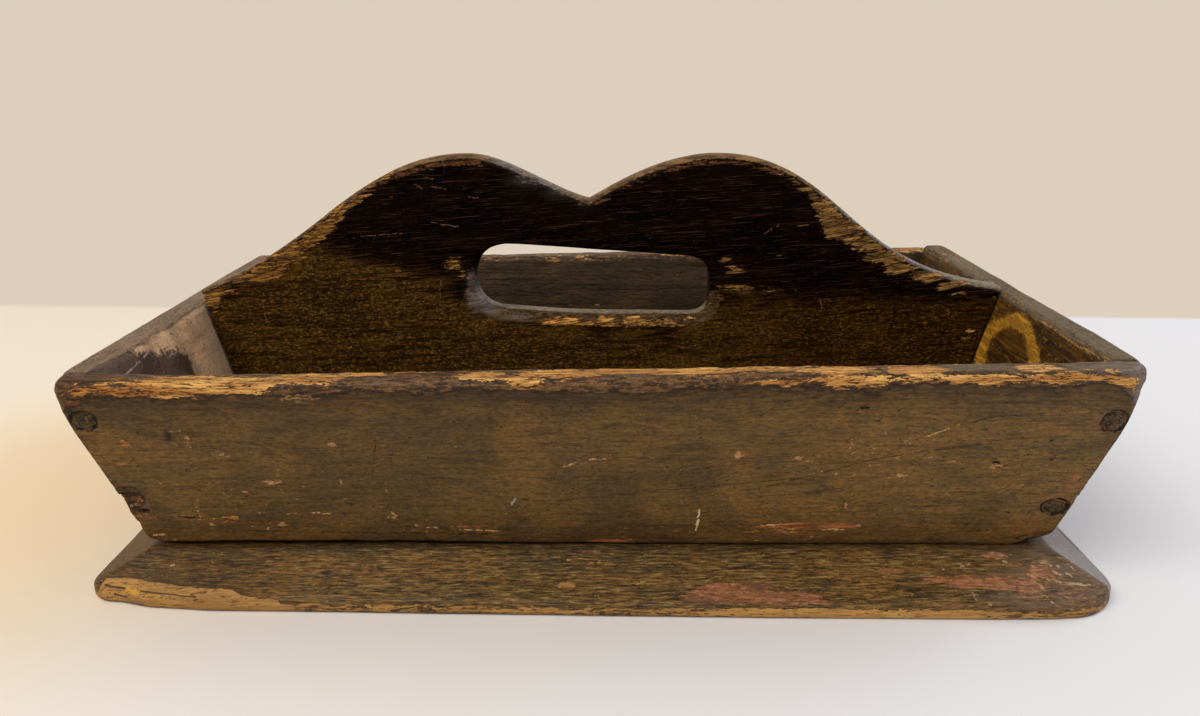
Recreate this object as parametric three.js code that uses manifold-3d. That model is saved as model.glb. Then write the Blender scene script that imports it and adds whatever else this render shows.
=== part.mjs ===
// Knife box: four thin boards that lean outwards, nailed at the corners and nailed down on a bottom
// board with bevelled edges, and a shaped handle board that parts the box down the middle.
// Millimetres. +X runs along the box, +Y to the back and +Z up. The origin is the middle of the
// bottom board's underside.

import * as THREE from 'three';
import { mergeVertices } from 'three/addons/utils/BufferGeometryUtils.js';
import Module from 'manifold-3d';

// Rim of the box, measured over the outer faces of its boards
const RIM_LENGTH = 360;
const RIM_WIDTH = 232;
const RIM_HEIGHT = 85;
// The maker planed the rim a little higher at the right-hand end than at the left
const RIM_RISE = 5;
// The end boards stand this much above the long boards
const END_PROUD = 0.8;

// Thin boards
const CANT = THREE.MathUtils.degToRad(16.6);
const BOARD_THICKNESS = 11.7;
const OUTER_ARRIS_RADIUS = 4;
const INNER_ARRIS_RADIUS = 2;

// Bottom board: thick in the middle, bevelled all round down to a thin edge
const BASE_LENGTH = 363;
const BASE_WIDTH = 235;
const BASE_HEIGHT = 16;
const BASE_EDGE = 5;
const BASE_MARGIN = 1;

// Handle board
const HANDLE_THICKNESS = 11.5;
const HANDLE_ARRIS_DEPTH = 3;
const HANDLE_ARRIS_WIDTH = 2.4;
const HUMP_HEIGHT = 145.5;
const LEFT_HUMP_X = -54;
const RIGHT_HUMP_X = 49;
const NOTCH_X = -4.5;
const NOTCH_HEIGHT = 127;
const LEFT_SHOULDER_HEIGHT = 87.4;
const RIGHT_SHOULDER_HEIGHT = 90.4;
const SHOULDER_X = 174;

// Hand hole, cut by eye: lower at its right-hand end than at its left
const HOLE_LEFT = -54;
const HOLE_RIGHT = 46.5;
const HOLE_BOTTOM = 77.8;
const HOLE_TOP_LEFT = 109.5;
const HOLE_TOP_RIGHT = 101.5;
const HOLE_RADIUS_LEFT = 15;
const HOLE_RADIUS_RIGHT = 9.5;

// Hand-forged nails: a square tapering shank under a head of a few hammered faces
const NAIL_LENGTH = 38;
const NAIL_SHANK = 1.9;
const NAIL_TIP = 0.6;
const NAIL_HEAD_RADIUS = 4.3;
const NAIL_HEAD_RIM = 0.7;
const NAIL_HEAD_CROWN = 1.1;
const NAIL_HEAD_FACES = 6;
const CORNER_NAIL_HEIGHTS = { lower: 33.5, upper: 69 };
const HANDLE_NAIL_HEIGHTS = { lower: 36, upper: 66 };
const HEAD_SINK = 1;
const BASE_HEAD_SINK = 3.2;
const LONG_BOARD_NAIL_X = [-112, 0, 112];
const END_BOARD_NAIL_Y = [-40, 40];
const HANDLE_BOARD_NAIL_X = [-92, 92];

// Clearance between pieces that touch, and the size of the blocks that trim them
const GAP = 0.3;
const REACH = 600;

const SLOPE = Math.tan(CANT);
const ACROSS = BOARD_THICKNESS / Math.cos(CANT);
const FOOT_X = RIM_LENGTH / 2 - (RIM_HEIGHT - BASE_HEIGHT) * SLOPE;
const FOOT_Y = RIM_WIDTH / 2 - (RIM_HEIGHT - BASE_HEIGHT) * SLOPE;
const RISE_ANGLE = Math.atan(RIM_RISE / RIM_LENGTH);
const SEAT = BASE_HEIGHT + GAP;
const UP = new THREE.Vector3(0, 0, 1);

const wasm = await Module();
wasm.setup();

const FINISH = {
  base: { color: 0x4a4030, roughness: 0.7, metalness: 0 },
  side: { color: 0x5a4a2e, roughness: 0.65, metalness: 0 },
  end: { color: 0x6b5a48, roughness: 0.7, metalness: 0 },
  handle: { color: 0x2a1a10, roughness: 0.5, metalness: 0 },
  nail: { color: 0x2c2824, roughness: 0.75, metalness: 0.6 },
};

function material(finish) {
  return new THREE.MeshStandardMaterial({ ...FINISH[finish], flatShading: true });
}

function toSolid(geometry) {
  const bare = geometry.clone();
  bare.deleteAttribute('normal');
  bare.deleteAttribute('uv');
  const merged = mergeVertices(bare, 1e-4);
  return new wasm.Manifold(new wasm.Mesh({
    numProp: 3,
    vertProperties: new Float32Array(merged.attributes.position.array),
    triVerts: new Uint32Array(merged.index.array),
  }));
}

function toMesh(name, solid, finish) {
  const { vertProperties, triVerts } = solid.getMesh();
  const geometry = new THREE.BufferGeometry();
  geometry.setAttribute('position', new THREE.BufferAttribute(vertProperties, 3));
  geometry.setIndex(new THREE.BufferAttribute(triVerts, 1));
  const mesh = new THREE.Mesh(geometry, material(finish));
  mesh.name = name;
  return mesh;
}

// A block that fills everything on the far side of the plane through point, square to normal
function beyond(point, normal) {
  const block = new THREE.BoxGeometry(REACH, REACH, REACH);
  block.translate(0, 0, REACH / 2);
  block.applyQuaternion(new THREE.Quaternion().setFromUnitVectors(UP, normal));
  block.translate(point.x, point.y, point.z);
  return toSolid(block);
}

function belowHeight(height) {
  return beyond(new THREE.Vector3(0, 0, height), new THREE.Vector3(0, 0, -1));
}

// Past a plane that leans with the end boards: inset is how far inside their outer faces it lies
function pastEnd(side, inset) {
  const foot = new THREE.Vector3(side * (FOOT_X - inset / Math.cos(CANT)), 0, BASE_HEIGHT);
  return beyond(foot, new THREE.Vector3(side * Math.cos(CANT), 0, -Math.sin(CANT)));
}

function pastLongBoard(side, inset) {
  const foot = new THREE.Vector3(0, side * (FOOT_Y - inset / Math.cos(CANT)), BASE_HEIGHT);
  return beyond(foot, new THREE.Vector3(0, side * Math.cos(CANT), -Math.sin(CANT)));
}

// Section of a leaning board, drawn outwards and upwards, with its top planed level and its
// two top arrises worn round
function boardSection(foot, top) {
  const low = BASE_HEIGHT / 2;
  const outer = (height) => foot + (height - BASE_HEIGHT) * SLOPE;
  const inner = (height) => outer(height) - ACROSS;
  const section = new THREE.Shape();
  section.moveTo(inner(low), low);
  section.lineTo(outer(low), low);
  section.lineTo(outer(top - OUTER_ARRIS_RADIUS), top - OUTER_ARRIS_RADIUS);
  section.quadraticCurveTo(outer(top), top, outer(top) - OUTER_ARRIS_RADIUS, top);
  section.lineTo(inner(top) + INNER_ARRIS_RADIUS, top);
  section.quadraticCurveTo(inner(top), top, inner(top - INNER_ARRIS_RADIUS), top - INNER_ARRIS_RADIUS);
  section.closePath();
  return section;
}

// The board leans towards +X and runs along Y, before it is turned to its own side of the box
function leaningBoard(foot, top) {
  const board = new THREE.ExtrudeGeometry(boardSection(foot, top), {
    depth: REACH,
    bevelEnabled: false,
    curveSegments: 5,
  });
  board.translate(0, 0, -REACH / 2);
  board.rotateX(Math.PI / 2);
  return board;
}

function longBoard(side) {
  const board = leaningBoard(FOOT_Y, RIM_HEIGHT);
  const face = new THREE.Vector3(Math.cos(CANT), 0, -Math.sin(CANT));
  const middle = new THREE.Vector3(RIM_WIDTH / 2, 0, RIM_HEIGHT);
  board.translate(-middle.x, -middle.y, -middle.z);
  board.applyQuaternion(new THREE.Quaternion().setFromAxisAngle(face, -side * RISE_ANGLE));
  board.translate(middle.x, middle.y, middle.z);
  board.rotateZ(side * Math.PI / 2);
  return toSolid(board)
    .subtract(pastEnd(-1, 0))
    .subtract(pastEnd(1, 0))
    .subtract(belowHeight(SEAT));
}

function endBoard(side) {
  const board = leaningBoard(FOOT_X, RIM_HEIGHT + END_PROUD + side * RIM_RISE / 2);
  if (side < 0) board.rotateZ(Math.PI);
  return toSolid(board)
    .subtract(pastLongBoard(-1, BOARD_THICKNESS + GAP))
    .subtract(pastLongBoard(1, BOARD_THICKNESS + GAP))
    .subtract(belowHeight(SEAT));
}

// The bevel of the extruded outline makes the sloping edges; its lower half is cut away
function bottomBoard() {
  const halfX = FOOT_X + BASE_MARGIN;
  const halfY = FOOT_Y + BASE_MARGIN;
  const outline = new THREE.Shape([
    new THREE.Vector2(-halfX, -halfY),
    new THREE.Vector2(halfX, -halfY),
    new THREE.Vector2(halfX, halfY),
    new THREE.Vector2(-halfX, halfY),
  ]);
  const board = new THREE.ExtrudeGeometry(outline, {
    depth: 2 * BASE_EDGE,
    bevelThickness: BASE_HEIGHT - BASE_EDGE,
    bevelSize: BASE_LENGTH / 2 - halfX,
    bevelSegments: 1,
  });
  board.translate(0, 0, -BASE_EDGE);
  board.scale(1, BASE_WIDTH / 2 / (halfY + BASE_LENGTH / 2 - halfX), 1);
  return toSolid(board).subtract(belowHeight(0));
}

// Top edge of the handle board: from each shoulder a long ogee climbs to a hump, and the two humps
// fall to a notch between them
function handleOutline() {
  const outline = new THREE.Shape();
  const low = BASE_HEIGHT / 2;
  outline.moveTo(-SHOULDER_X, low);
  outline.lineTo(SHOULDER_X, low);
  outline.lineTo(SHOULDER_X, RIGHT_SHOULDER_HEIGHT);
  outline.bezierCurveTo(105, 94.5, 100, HUMP_HEIGHT, RIGHT_HUMP_X, HUMP_HEIGHT);
  outline.bezierCurveTo(28, HUMP_HEIGHT, 8, 134.5, NOTCH_X, NOTCH_HEIGHT);
  outline.bezierCurveTo(-20, 131.5, -40, HUMP_HEIGHT, LEFT_HUMP_X, HUMP_HEIGHT);
  outline.bezierCurveTo(-102, HUMP_HEIGHT, -119, 104, -SHOULDER_X, LEFT_SHOULDER_HEIGHT);
  outline.closePath();
  return outline;
}

// A path round the corners, each rounded off with its own radius
function roundedPath(corners) {
  const path = new THREE.Path();
  corners.forEach(({ point, radius }, index) => {
    const before = corners[(index + corners.length - 1) % corners.length].point;
    const after = corners[(index + 1) % corners.length].point;
    const start = before.clone().sub(point).setLength(radius).add(point);
    const end = after.clone().sub(point).setLength(radius).add(point);
    if (index === 0) path.moveTo(start.x, start.y);
    else path.lineTo(start.x, start.y);
    path.quadraticCurveTo(point.x, point.y, end.x, end.y);
  });
  path.closePath();
  return path;
}

function handHole() {
  return roundedPath([
    { point: new THREE.Vector2(HOLE_LEFT, HOLE_BOTTOM), radius: HOLE_RADIUS_LEFT },
    { point: new THREE.Vector2(HOLE_RIGHT, HOLE_BOTTOM), radius: HOLE_RADIUS_RIGHT },
    { point: new THREE.Vector2(HOLE_RIGHT, HOLE_TOP_RIGHT), radius: HOLE_RADIUS_RIGHT },
    { point: new THREE.Vector2(HOLE_LEFT, HOLE_TOP_LEFT), radius: HOLE_RADIUS_LEFT },
  ]);
}

// Drawn wider and deeper than the box, so that only the top edge and the hand hole keep their
// rounded arrises once the ends and the foot are sawn off
function handleBoard() {
  const outline = handleOutline();
  outline.holes.push(handHole());
  const board = new THREE.ExtrudeGeometry(outline, {
    depth: HANDLE_THICKNESS - 2 * HANDLE_ARRIS_DEPTH,
    bevelThickness: HANDLE_ARRIS_DEPTH,
    bevelSize: HANDLE_ARRIS_WIDTH,
    bevelOffset: -HANDLE_ARRIS_WIDTH,
    bevelSegments: 3,
    curveSegments: 16,
  });
  board.translate(0, 0, HANDLE_ARRIS_DEPTH - HANDLE_THICKNESS / 2);
  board.rotateX(Math.PI / 2);
  const inset = BOARD_THICKNESS + GAP;
  return toSolid(board)
    .subtract(pastEnd(-1, inset))
    .subtract(pastEnd(1, inset))
    .subtract(belowHeight(SEAT));
}

// A nail that points down, with the underside of its head at the origin
function nail(clearance) {
  const headRadius = NAIL_HEAD_RADIUS + clearance;
  const rim = new THREE.CylinderGeometry(headRadius, headRadius, NAIL_HEAD_RIM + 2 * clearance, NAIL_HEAD_FACES);
  rim.rotateX(Math.PI / 2);
  rim.translate(0, 0, NAIL_HEAD_RIM / 2);
  const crownHeight = NAIL_HEAD_CROWN + clearance;
  const crown = new THREE.CylinderGeometry(headRadius * 0.25, headRadius, crownHeight, NAIL_HEAD_FACES);
  crown.rotateX(Math.PI / 2);
  crown.translate(0, 0, NAIL_HEAD_RIM + clearance + crownHeight / 2);
  const shank = new THREE.CylinderGeometry(
    NAIL_SHANK + clearance, NAIL_TIP + clearance, NAIL_LENGTH + clearance, 4);
  shank.rotateX(Math.PI / 2);
  shank.translate(0, 0, NAIL_HEAD_RIM / 2 - (NAIL_LENGTH + clearance) / 2);
  return toSolid(rim).add(toSolid(crown)).add(toSolid(shank));
}

// The hole that a nail sits in, open above its head
function nailHole() {
  const radius = NAIL_HEAD_RADIUS + GAP;
  const mouth = new THREE.CylinderGeometry(radius, radius, NAIL_LENGTH / 2, NAIL_HEAD_FACES);
  mouth.rotateX(Math.PI / 2);
  mouth.translate(0, 0, NAIL_LENGTH / 4);
  return nail(GAP).add(toSolid(mouth));
}

// Where each nail is: the place of its head on the wood's face, the way it is driven, and how far
// its head is sunk
function nailPlaces() {
  const places = [];
  const sides = [['front', -1], ['back', 1]];
  const ends = [['left', -1], ['right', 1]];
  const outerY = (height) => FOOT_Y + (height - BASE_HEIGHT) * SLOPE;
  const outerX = (height) => FOOT_X + (height - BASE_HEIGHT) * SLOPE;
  for (const [face, sy] of sides) {
    for (const [end, sx] of ends) {
      for (const [level, height] of Object.entries(CORNER_NAIL_HEIGHTS)) {
        places.push({
          name: `corner_nail_${face}_${end}_${level}`,
          head: new THREE.Vector3(sx * (outerX(height) - ACROSS / 2), sy * outerY(height), height),
          drive: new THREE.Vector3(0, -sy * Math.cos(CANT / 2), Math.sin(CANT / 2)),
          sink: HEAD_SINK,
        });
      }
    }
  }
  for (const [end, sx] of ends) {
    for (const [level, height] of Object.entries(HANDLE_NAIL_HEIGHTS)) {
      places.push({
        name: `handle_nail_${end}_${level}`,
        head: new THREE.Vector3(sx * outerX(height), 0, height),
        drive: new THREE.Vector3(-sx * Math.cos(CANT / 2), 0, Math.sin(CANT / 2)),
        sink: HEAD_SINK,
      });
    }
  }
  const footX = FOOT_X - ACROSS / 2 - BASE_HEIGHT * SLOPE;
  const footY = FOOT_Y - ACROSS / 2 - BASE_HEIGHT * SLOPE;
  for (const [face, sy] of sides) {
    LONG_BOARD_NAIL_X.forEach((x, index) => places.push({
      name: `base_nail_${face}_${index + 1}`,
      head: new THREE.Vector3(x, sy * footY, 0),
      drive: new THREE.Vector3(0, sy * Math.sin(CANT), Math.cos(CANT)),
      sink: BASE_HEAD_SINK,
    }));
  }
  for (const [end, sx] of ends) {
    END_BOARD_NAIL_Y.forEach((y, index) => places.push({
      name: `base_nail_${end}_${index + 1}`,
      head: new THREE.Vector3(sx * footX, y, 0),
      drive: new THREE.Vector3(sx * Math.sin(CANT), 0, Math.cos(CANT)),
      sink: BASE_HEAD_SINK,
    }));
  }
  HANDLE_BOARD_NAIL_X.forEach((x, index) => places.push({
    name: `base_nail_handle_${index + 1}`,
    head: new THREE.Vector3(x, 0, 0),
    drive: UP.clone(),
    sink: BASE_HEAD_SINK,
  }));
  return places;
}

function driven(solid, { head, drive, sink }) {
  const turn = new THREE.Quaternion().setFromUnitVectors(UP.clone().negate(), drive);
  const place = head.clone().addScaledVector(drive, sink);
  const matrix = new THREE.Matrix4().compose(place, turn, new THREE.Vector3(1, 1, 1));
  return solid.transform(matrix.toArray());
}

function knifeBox() {
  const box = new THREE.Group();
  const boards = [
    ['bottom_board', bottomBoard(), 'base'],
    ['front_board', longBoard(-1), 'side'],
    ['back_board', longBoard(1), 'side'],
    ['left_end_board', endBoard(-1), 'end'],
    ['right_end_board', endBoard(1), 'end'],
    ['handle_board', handleBoard(), 'handle'],
  ];
  const places = nailPlaces();
  const holes = places.map((place) => driven(nailHole(), place));
  for (const [name, board, finish] of boards) {
    const drilled = holes.reduce((wood, hole) => wood.subtract(hole), board);
    box.add(toMesh(name, drilled, finish));
  }
  for (const place of places) {
    box.add(toMesh(place.name, driven(nail(0), place), 'nail'));
  }
  return box;
}

export default knifeBox();
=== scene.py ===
# Knife box with worn olive-brown paint, on a pale floor.
# Shapes are worked out in millimetres in the part's own frame, and turned into metres at the end.
import math

import bpy
import numpy as np
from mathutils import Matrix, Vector


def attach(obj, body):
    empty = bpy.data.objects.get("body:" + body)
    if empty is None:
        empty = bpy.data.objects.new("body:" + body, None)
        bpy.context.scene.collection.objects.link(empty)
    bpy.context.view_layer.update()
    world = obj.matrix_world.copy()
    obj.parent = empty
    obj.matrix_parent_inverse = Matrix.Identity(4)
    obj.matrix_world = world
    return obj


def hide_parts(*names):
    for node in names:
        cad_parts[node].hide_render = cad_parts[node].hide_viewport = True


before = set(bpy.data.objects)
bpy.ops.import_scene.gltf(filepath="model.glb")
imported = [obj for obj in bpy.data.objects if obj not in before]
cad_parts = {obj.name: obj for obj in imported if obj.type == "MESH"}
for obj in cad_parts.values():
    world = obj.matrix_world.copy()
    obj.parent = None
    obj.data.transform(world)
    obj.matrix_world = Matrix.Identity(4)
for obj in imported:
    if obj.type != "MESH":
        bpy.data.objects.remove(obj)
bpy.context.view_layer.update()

MM = 0.001

# The box, as the solids have it
RIM_LENGTH, RIM_WIDTH, RIM_HEIGHT, RIM_RISE, END_PROUD = 360.0, 232.0, 85.0, 5.0, 0.8
CANT = math.radians(16.6)
COS, SIN, SLOPE = math.cos(CANT), math.sin(CANT), math.tan(CANT)
THICKNESS, ACROSS, GAP = 11.7, 11.7 / COS, 0.3
BASE_LENGTH, BASE_HEIGHT, BASE_EDGE, BASE_MARGIN = 363.0, 16.0, 5.0, 1.0
HANDLE_HALF = 5.75
NAIL_HEIGHTS = {"lower": 33.5, "upper": 69.0}
HANDLE_NAIL_HEIGHTS = {"lower": 36.0, "upper": 66.0}
ENDS = (("left", -1), ("right", 1))


def lean_out(height):
    """How far a leaning board is outside its foot."""
    return (height - BASE_HEIGHT) * SLOPE


FOOT_X, FOOT_Y = RIM_LENGTH / 2 - lean_out(RIM_HEIGHT), RIM_WIDTH / 2 - lean_out(RIM_HEIGHT)

# What is worn or out of true: the left end turned a little, the bottom board cut unevenly
END_OUT, LEFT_END_TURN = 0.5, 0.0105
BASE_BACK, BASE_RIGHT = 117.5, 0.9
CORNER_WORN, TIP_WORN = {"left": 4.8, "right": 8.0}, {"left": 7.0, "right": 4.5}
CORNER_REACH, TIP_REACH = 10.0, 9.0
SUNK_NAIL = (-1, "left", "lower")
HANDLE_SEAT = (4.6, 4.0)


def smooth(low, high, value):
    t = np.clip((value - low) / (high - low), 0.0, 1.0)
    return t * t * (3.0 - 2.0 * t)


def lattice(i, j, k, seed):
    h = (i * 73856093) ^ (j * 19349663) ^ (k * 83492791) ^ (seed * 2654435761)
    h = ((h & 0xFFFFFFFF) ^ ((h & 0xFFFFFFFF) >> 13)) * 1274126177 & 0xFFFFFFFF
    return ((h ^ (h >> 16)) & 0xFFFF) / 32767.5 - 1.0


# Lumps this long in a ripple mean that it doesn't vary that way
FAR = 400


def ripple(p, size, seed):
    """Smooth noise from -1 to 1 at points p, with lumps about size across, one size per axis."""
    q = p / np.asarray(size, float)
    cell = np.floor(q)
    t = q - cell
    t = t * t * (3.0 - 2.0 * t)
    cell = cell.astype(np.int64)
    total = np.zeros(len(p))
    for corner in range(8):
        step = np.array([corner & 1, corner >> 1 & 1, corner >> 2 & 1])
        weight = np.prod(np.where(step == 1, t, 1.0 - t), axis=1)
        total += weight * lattice(*(cell + step).T, seed)
    return total


def rounded(radius, *sides):
    """Where the sides meet, in signed distances, with the edges between them rounded."""
    deepest = np.maximum.reduce(sides)
    beyond = sum(np.maximum(side + radius, 0.0) ** 2 for side in sides)
    return np.minimum(deepest, -radius) + np.sqrt(beyond)


def blobs(u, v, spots):
    """Soft-edged spots on a face: each is (u, v, half width, half height, strength)."""
    total = np.zeros(len(u))
    for cu, cv, ru, rv, strength in spots:
        away = ((u - cu) / ru) ** 2 + ((v - cv) / rv) ** 2
        total = np.maximum(total, strength * np.exp(-0.7 * away ** 1.5))
    return total


# Planes of the leaning boards

def outer_long(p, side):
    return (side * p[:, 1] - FOOT_Y - lean_out(p[:, 2])) * COS


def outer_end(p, side):
    out = END_OUT - LEFT_END_TURN * p[:, 1] if side < 0 else END_OUT
    return (side * p[:, 0] - out - FOOT_X - lean_out(p[:, 2])) * COS


def rim_height(x):
    return RIM_HEIGHT + 0.25 + (RIM_RISE + 0.5) * x / RIM_LENGTH + 0.8 * smooth(-140.0, -170.0, x)


def by_end(x, values):
    return np.where(x < 0, values["left"], values["right"])


def shell(p, top):
    """The box's outside, with its upright corners and its rim rounded by wear."""
    x = p[:, 0]
    corner = np.stack([np.abs(x) - RIM_LENGTH / 2, np.abs(p[:, 1]) - RIM_WIDTH / 2, p[:, 2] - RIM_HEIGHT])
    away = np.sum(corner ** 2, axis=0)
    near, tip = np.exp(-away / CORNER_REACH ** 2), np.exp(-away / TIP_REACH ** 2)
    high = smooth(62.0, 80.0, p[:, 2])
    on_left = smooth(-6.0, 0.0, outer_end(p, -1) - np.maximum(outer_long(p, -1), outer_long(p, 1)))
    sides = rounded(
        0.9 + 2.6 * high + by_end(x, CORNER_WORN) * near,
        outer_long(p, -1), outer_long(p, 1), outer_end(p, -1), outer_end(p, 1))
    return rounded(1.2 + (2.6 - 1.8 * on_left) * high + by_end(x, TIP_WORN) * tip, sides, top)


def nail_seat(body, p, centre, across, up, face, size, depth=0.9):
    """A shallow pocket round a nail's head."""
    d = p - np.array(centre)
    round_it = np.hypot(d @ np.array(across) / size[0], d @ np.array(up) / size[1])
    pocket = np.maximum((round_it - 1.0) * min(size), -depth - face)
    return np.maximum(body, -pocket)


def dent(body, p, centre, size):
    """A broken-out hollow: an ellipsoid cut out of the wood."""
    d = (p - np.array(centre, float)) / np.array(size, float)
    length = np.sqrt(np.sum(d * d, axis=1))
    return rounded(0.35, body, -(length - 1.0) * min(size))


NAIL_SIZES = {
    ("left", "upper"): (4.4, 3.7), ("right", "upper"): (4.3, 4.1),
    ("left", "lower"): (4.2, 3.4), ("right", "lower"): (4.5, 3.3),
}
FRONT_DENTS = [
    ((-170.3, -105.9, 44.2), (2.7, 2.2, 2.5)), ((-168.8, -104.5, 40.9), (2.5, 2, 2.6)),
    ((-163.6, -101.2, 35.4), (5.5, 1.1, 4.2)), ((-160.2, -99.8, 31), (1.8, 1.7, 1.1)),
    ((-164.6, -98.6, 24.8), (1.9, 1.8, 2.2)), ((-176.4, -113.4, 73), (1.6, 1, 1.9)),
    ((-174.6, -110.8, 62), (1.2, 0.8, 2.2)), ((172.9, -109.9, 60.5), (1.2, 0.8, 2.4)),
    ((167.5, -104.3, 43.5), (1.3, 0.8, 1.8)), ((165.3, -101.8, 36.8), (1.2, 0.9, 1.5)),
    ((-34.5, -116, 85.5), (3, 3, 1.3)), ((-97, -115.9, 82.5), (6, 1.2, 2)), ((64, -117, 85), (4, 1.6, 1.8)),
    ((86.5, -112.9, 73.9), (1.8, 0.8, 0.9)), ((134.5, -106.4, 51.9), (2, 0.8, 1)),
    ((151.2, -109.3, 61.3), (1.3, 0.7, 0.9)), ((153.2, -107, 53.5), (1.2, 0.7, 0.7)),
]


def nail_x(end, height, side):
    """How far out a corner nail is: the front's upper ones were driven nearer the edge."""
    out = FOOT_X + lean_out(height) - ACROSS / 2
    nearer = (1.9 if end < 0 else 1.2) if height > 50 else (0.7 if end > 0 else 0.0)
    return end * (out + (nearer if side < 0 else 0.0))


def corner_nails(side):
    """Each corner nail of a long board: its end, level, centre and the size of its pocket."""
    for end, sx in ENDS:
        for level, height in NAIL_HEIGHTS.items():
            centre = (nail_x(sx, height, side), side * (FOOT_Y + lean_out(height)), height)
            yield end, level, centre, NAIL_SIZES[end, level]


def long_board(side):
    def shape(p):
        x, z = p[:, 0], p[:, 2]
        body = shell(p, z - rim_height(x) + (2.2 if side > 0 else 0.0))
        body = rounded(0.5 + 1.2 * smooth(70.0, 80.0, z), body, -outer_long(p, side) - THICKNESS)
        lift, worn = 0.0, 0.8
        if side < 0:
            lift = (1.4 + 0.5 * ripple(p, (9, FAR, FAR), 14)) * (1.0 - smooth(-100.0, 60.0, x))
            worn = 0.7 + 6.5 * smooth(146.0, 158.0, x) + 2.4 * smooth(-154.0, -162.0, x)
        body = rounded(worn, body, BASE_HEIGHT + GAP + lift - z)
        for end, level, centre, size in corner_nails(side):
            if (side, end, level) != SUNK_NAIL:
                body = nail_seat(
                    body, p, centre, (1, 0, 0), (0, side * SIN, COS), outer_long(p, side), size)
        if side < 0:
            for centre, size in FRONT_DENTS:
                body = dent(body, p, centre, size)
        return body
    return shape


def end_board(side):
    def shape(p):
        z = p[:, 2]
        body = shell(p, z - (RIM_HEIGHT + END_PROUD + side * RIM_RISE / 2))
        body = rounded(0.5 + 1.8 * smooth(70.0, 80.0, z), body, -outer_end(p, side) - THICKNESS)
        for along in (-1, 1):
            body = rounded(0.35, body, outer_long(p, along) + THICKNESS + GAP)
        body = rounded(0.8, body, BASE_HEIGHT + GAP - z)
        for height in HANDLE_NAIL_HEIGHTS.values():
            centre = (side * (FOOT_X + lean_out(height)), 0.0, height)
            body = nail_seat(
                body, p, centre, (0, 1, 0), (side * SIN, 0, COS), outer_end(p, side), HANDLE_SEAT)
        return body
    return shape


def bezier(p0, p1, p2, p3, count=48):
    t = np.linspace(0.0, 1.0, count, endpoint=False)[:, None]
    p0, p1, p2, p3 = (np.array(q, float) for q in (p0, p1, p2, p3))
    return (1 - t) ** 3 * p0 + 3 * (1 - t) ** 2 * t * p1 + 3 * (1 - t) * t * t * p2 + t ** 3 * p3


def handle_outline():
    return np.concatenate([
        np.array([[-180.0, 0.0], [180.0, 0.0], [180.0, 90.1]]),
        bezier((174, 90.4), (105, 94.5), (100, 145.5), (49, 145.5)),
        bezier((49, 145.5), (28, 145.5), (8, 134.5), (-4.5, 127)),
        bezier((-4.5, 127), (-20, 131.5), (-40, 145.5), (-54, 145.5)),
        bezier((-54, 145.5), (-102, 145.5), (-119, 104), (-174, 87.4)),
        np.array([[-180.0, 85.6]]),
    ])


def hole_outline():
    corners = [
        ((-52.4, 81.6), 13.0), ((-12, 78.8), 14.0), ((46.2, 78.2), 8.5), ((46.2, 103.2), 9.8),
        ((-52.4, 110.2), 17.0)]
    points = []
    for n, (corner, radius) in enumerate(corners):
        corner = np.array(corner, float)
        before = np.array(corners[n - 1][0], float) - corner
        after = np.array(corners[(n + 1) % 5][0], float) - corner
        start = corner + before / np.linalg.norm(before) * radius
        stop = corner + after / np.linalg.norm(after) * radius
        for t in np.linspace(0.0, 1.0, 9):
            points.append((1 - t) ** 2 * start + 2 * (1 - t) * t * corner + t * t * stop)
    return np.array(points)


class Outline:
    """Signed distance to a closed outline in the XZ plane, kept on a grid."""

    STEP, MARGIN = 0.75, 8.0

    def __init__(self, points):
        self.low = points.min(axis=0) - self.MARGIN
        size = np.ceil((points.max(axis=0) + self.MARGIN - self.low) / self.STEP).astype(int) + 1
        grid = np.stack(np.meshgrid(*(np.arange(n) * self.STEP for n in size), indexing="ij"), -1)
        q = grid.reshape(-1, 2) + self.low
        away = np.full(len(q), 1e9)
        inside = np.zeros(len(q), bool)
        for a, b in zip(points, np.roll(points, -1, axis=0)):
            edge = b - a
            length = edge @ edge
            if length < 1e-12:
                continue
            t = np.clip((q - a) @ edge / length, 0.0, 1.0)
            away = np.minimum(away, np.sum((q - a - t[:, None] * edge) ** 2, axis=1))
            if a[1] != b[1]:
                crosses = (a[1] > q[:, 1]) != (b[1] > q[:, 1])
                inside ^= crosses & (q[:, 0] < edge[0] * (q[:, 1] - a[1]) / edge[1] + a[0])
        self.value = (np.sqrt(away) * np.where(inside, -1.0, 1.0)).reshape(size)

    def __call__(self, x, z):
        q = (np.stack([x, z], -1) - self.low) / self.STEP
        q = np.clip(q, 0.0, np.array(self.value.shape) - 1.001)
        cell = q.astype(int)
        t = q - cell
        i, j = cell.T
        low = self.value[i, j] * (1 - t[:, 0]) + self.value[i + 1, j] * t[:, 0]
        high = self.value[i, j + 1] * (1 - t[:, 0]) + self.value[i + 1, j + 1] * t[:, 0]
        return low * (1 - t[:, 1]) + high * t[:, 1]


edge_points = handle_outline()
handle_edge = Outline(edge_points)
hole_edge = Outline(hole_outline())
top_points = edge_points[3:][::-1]
top_points = top_points[np.argsort(top_points[:, 0])]


def handle_top(x):
    return np.interp(x, top_points[:, 0], top_points[:, 1])


def hole_worn(x, z):
    """Where hands have worn the hole's lip: along its bottom and round its left end."""
    low = smooth(90.0, 80.0, z)
    left = smooth(-40.0, -50.0, x) * smooth(112.0, 96.0, z)
    return np.maximum(low, 0.8 * left)


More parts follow.
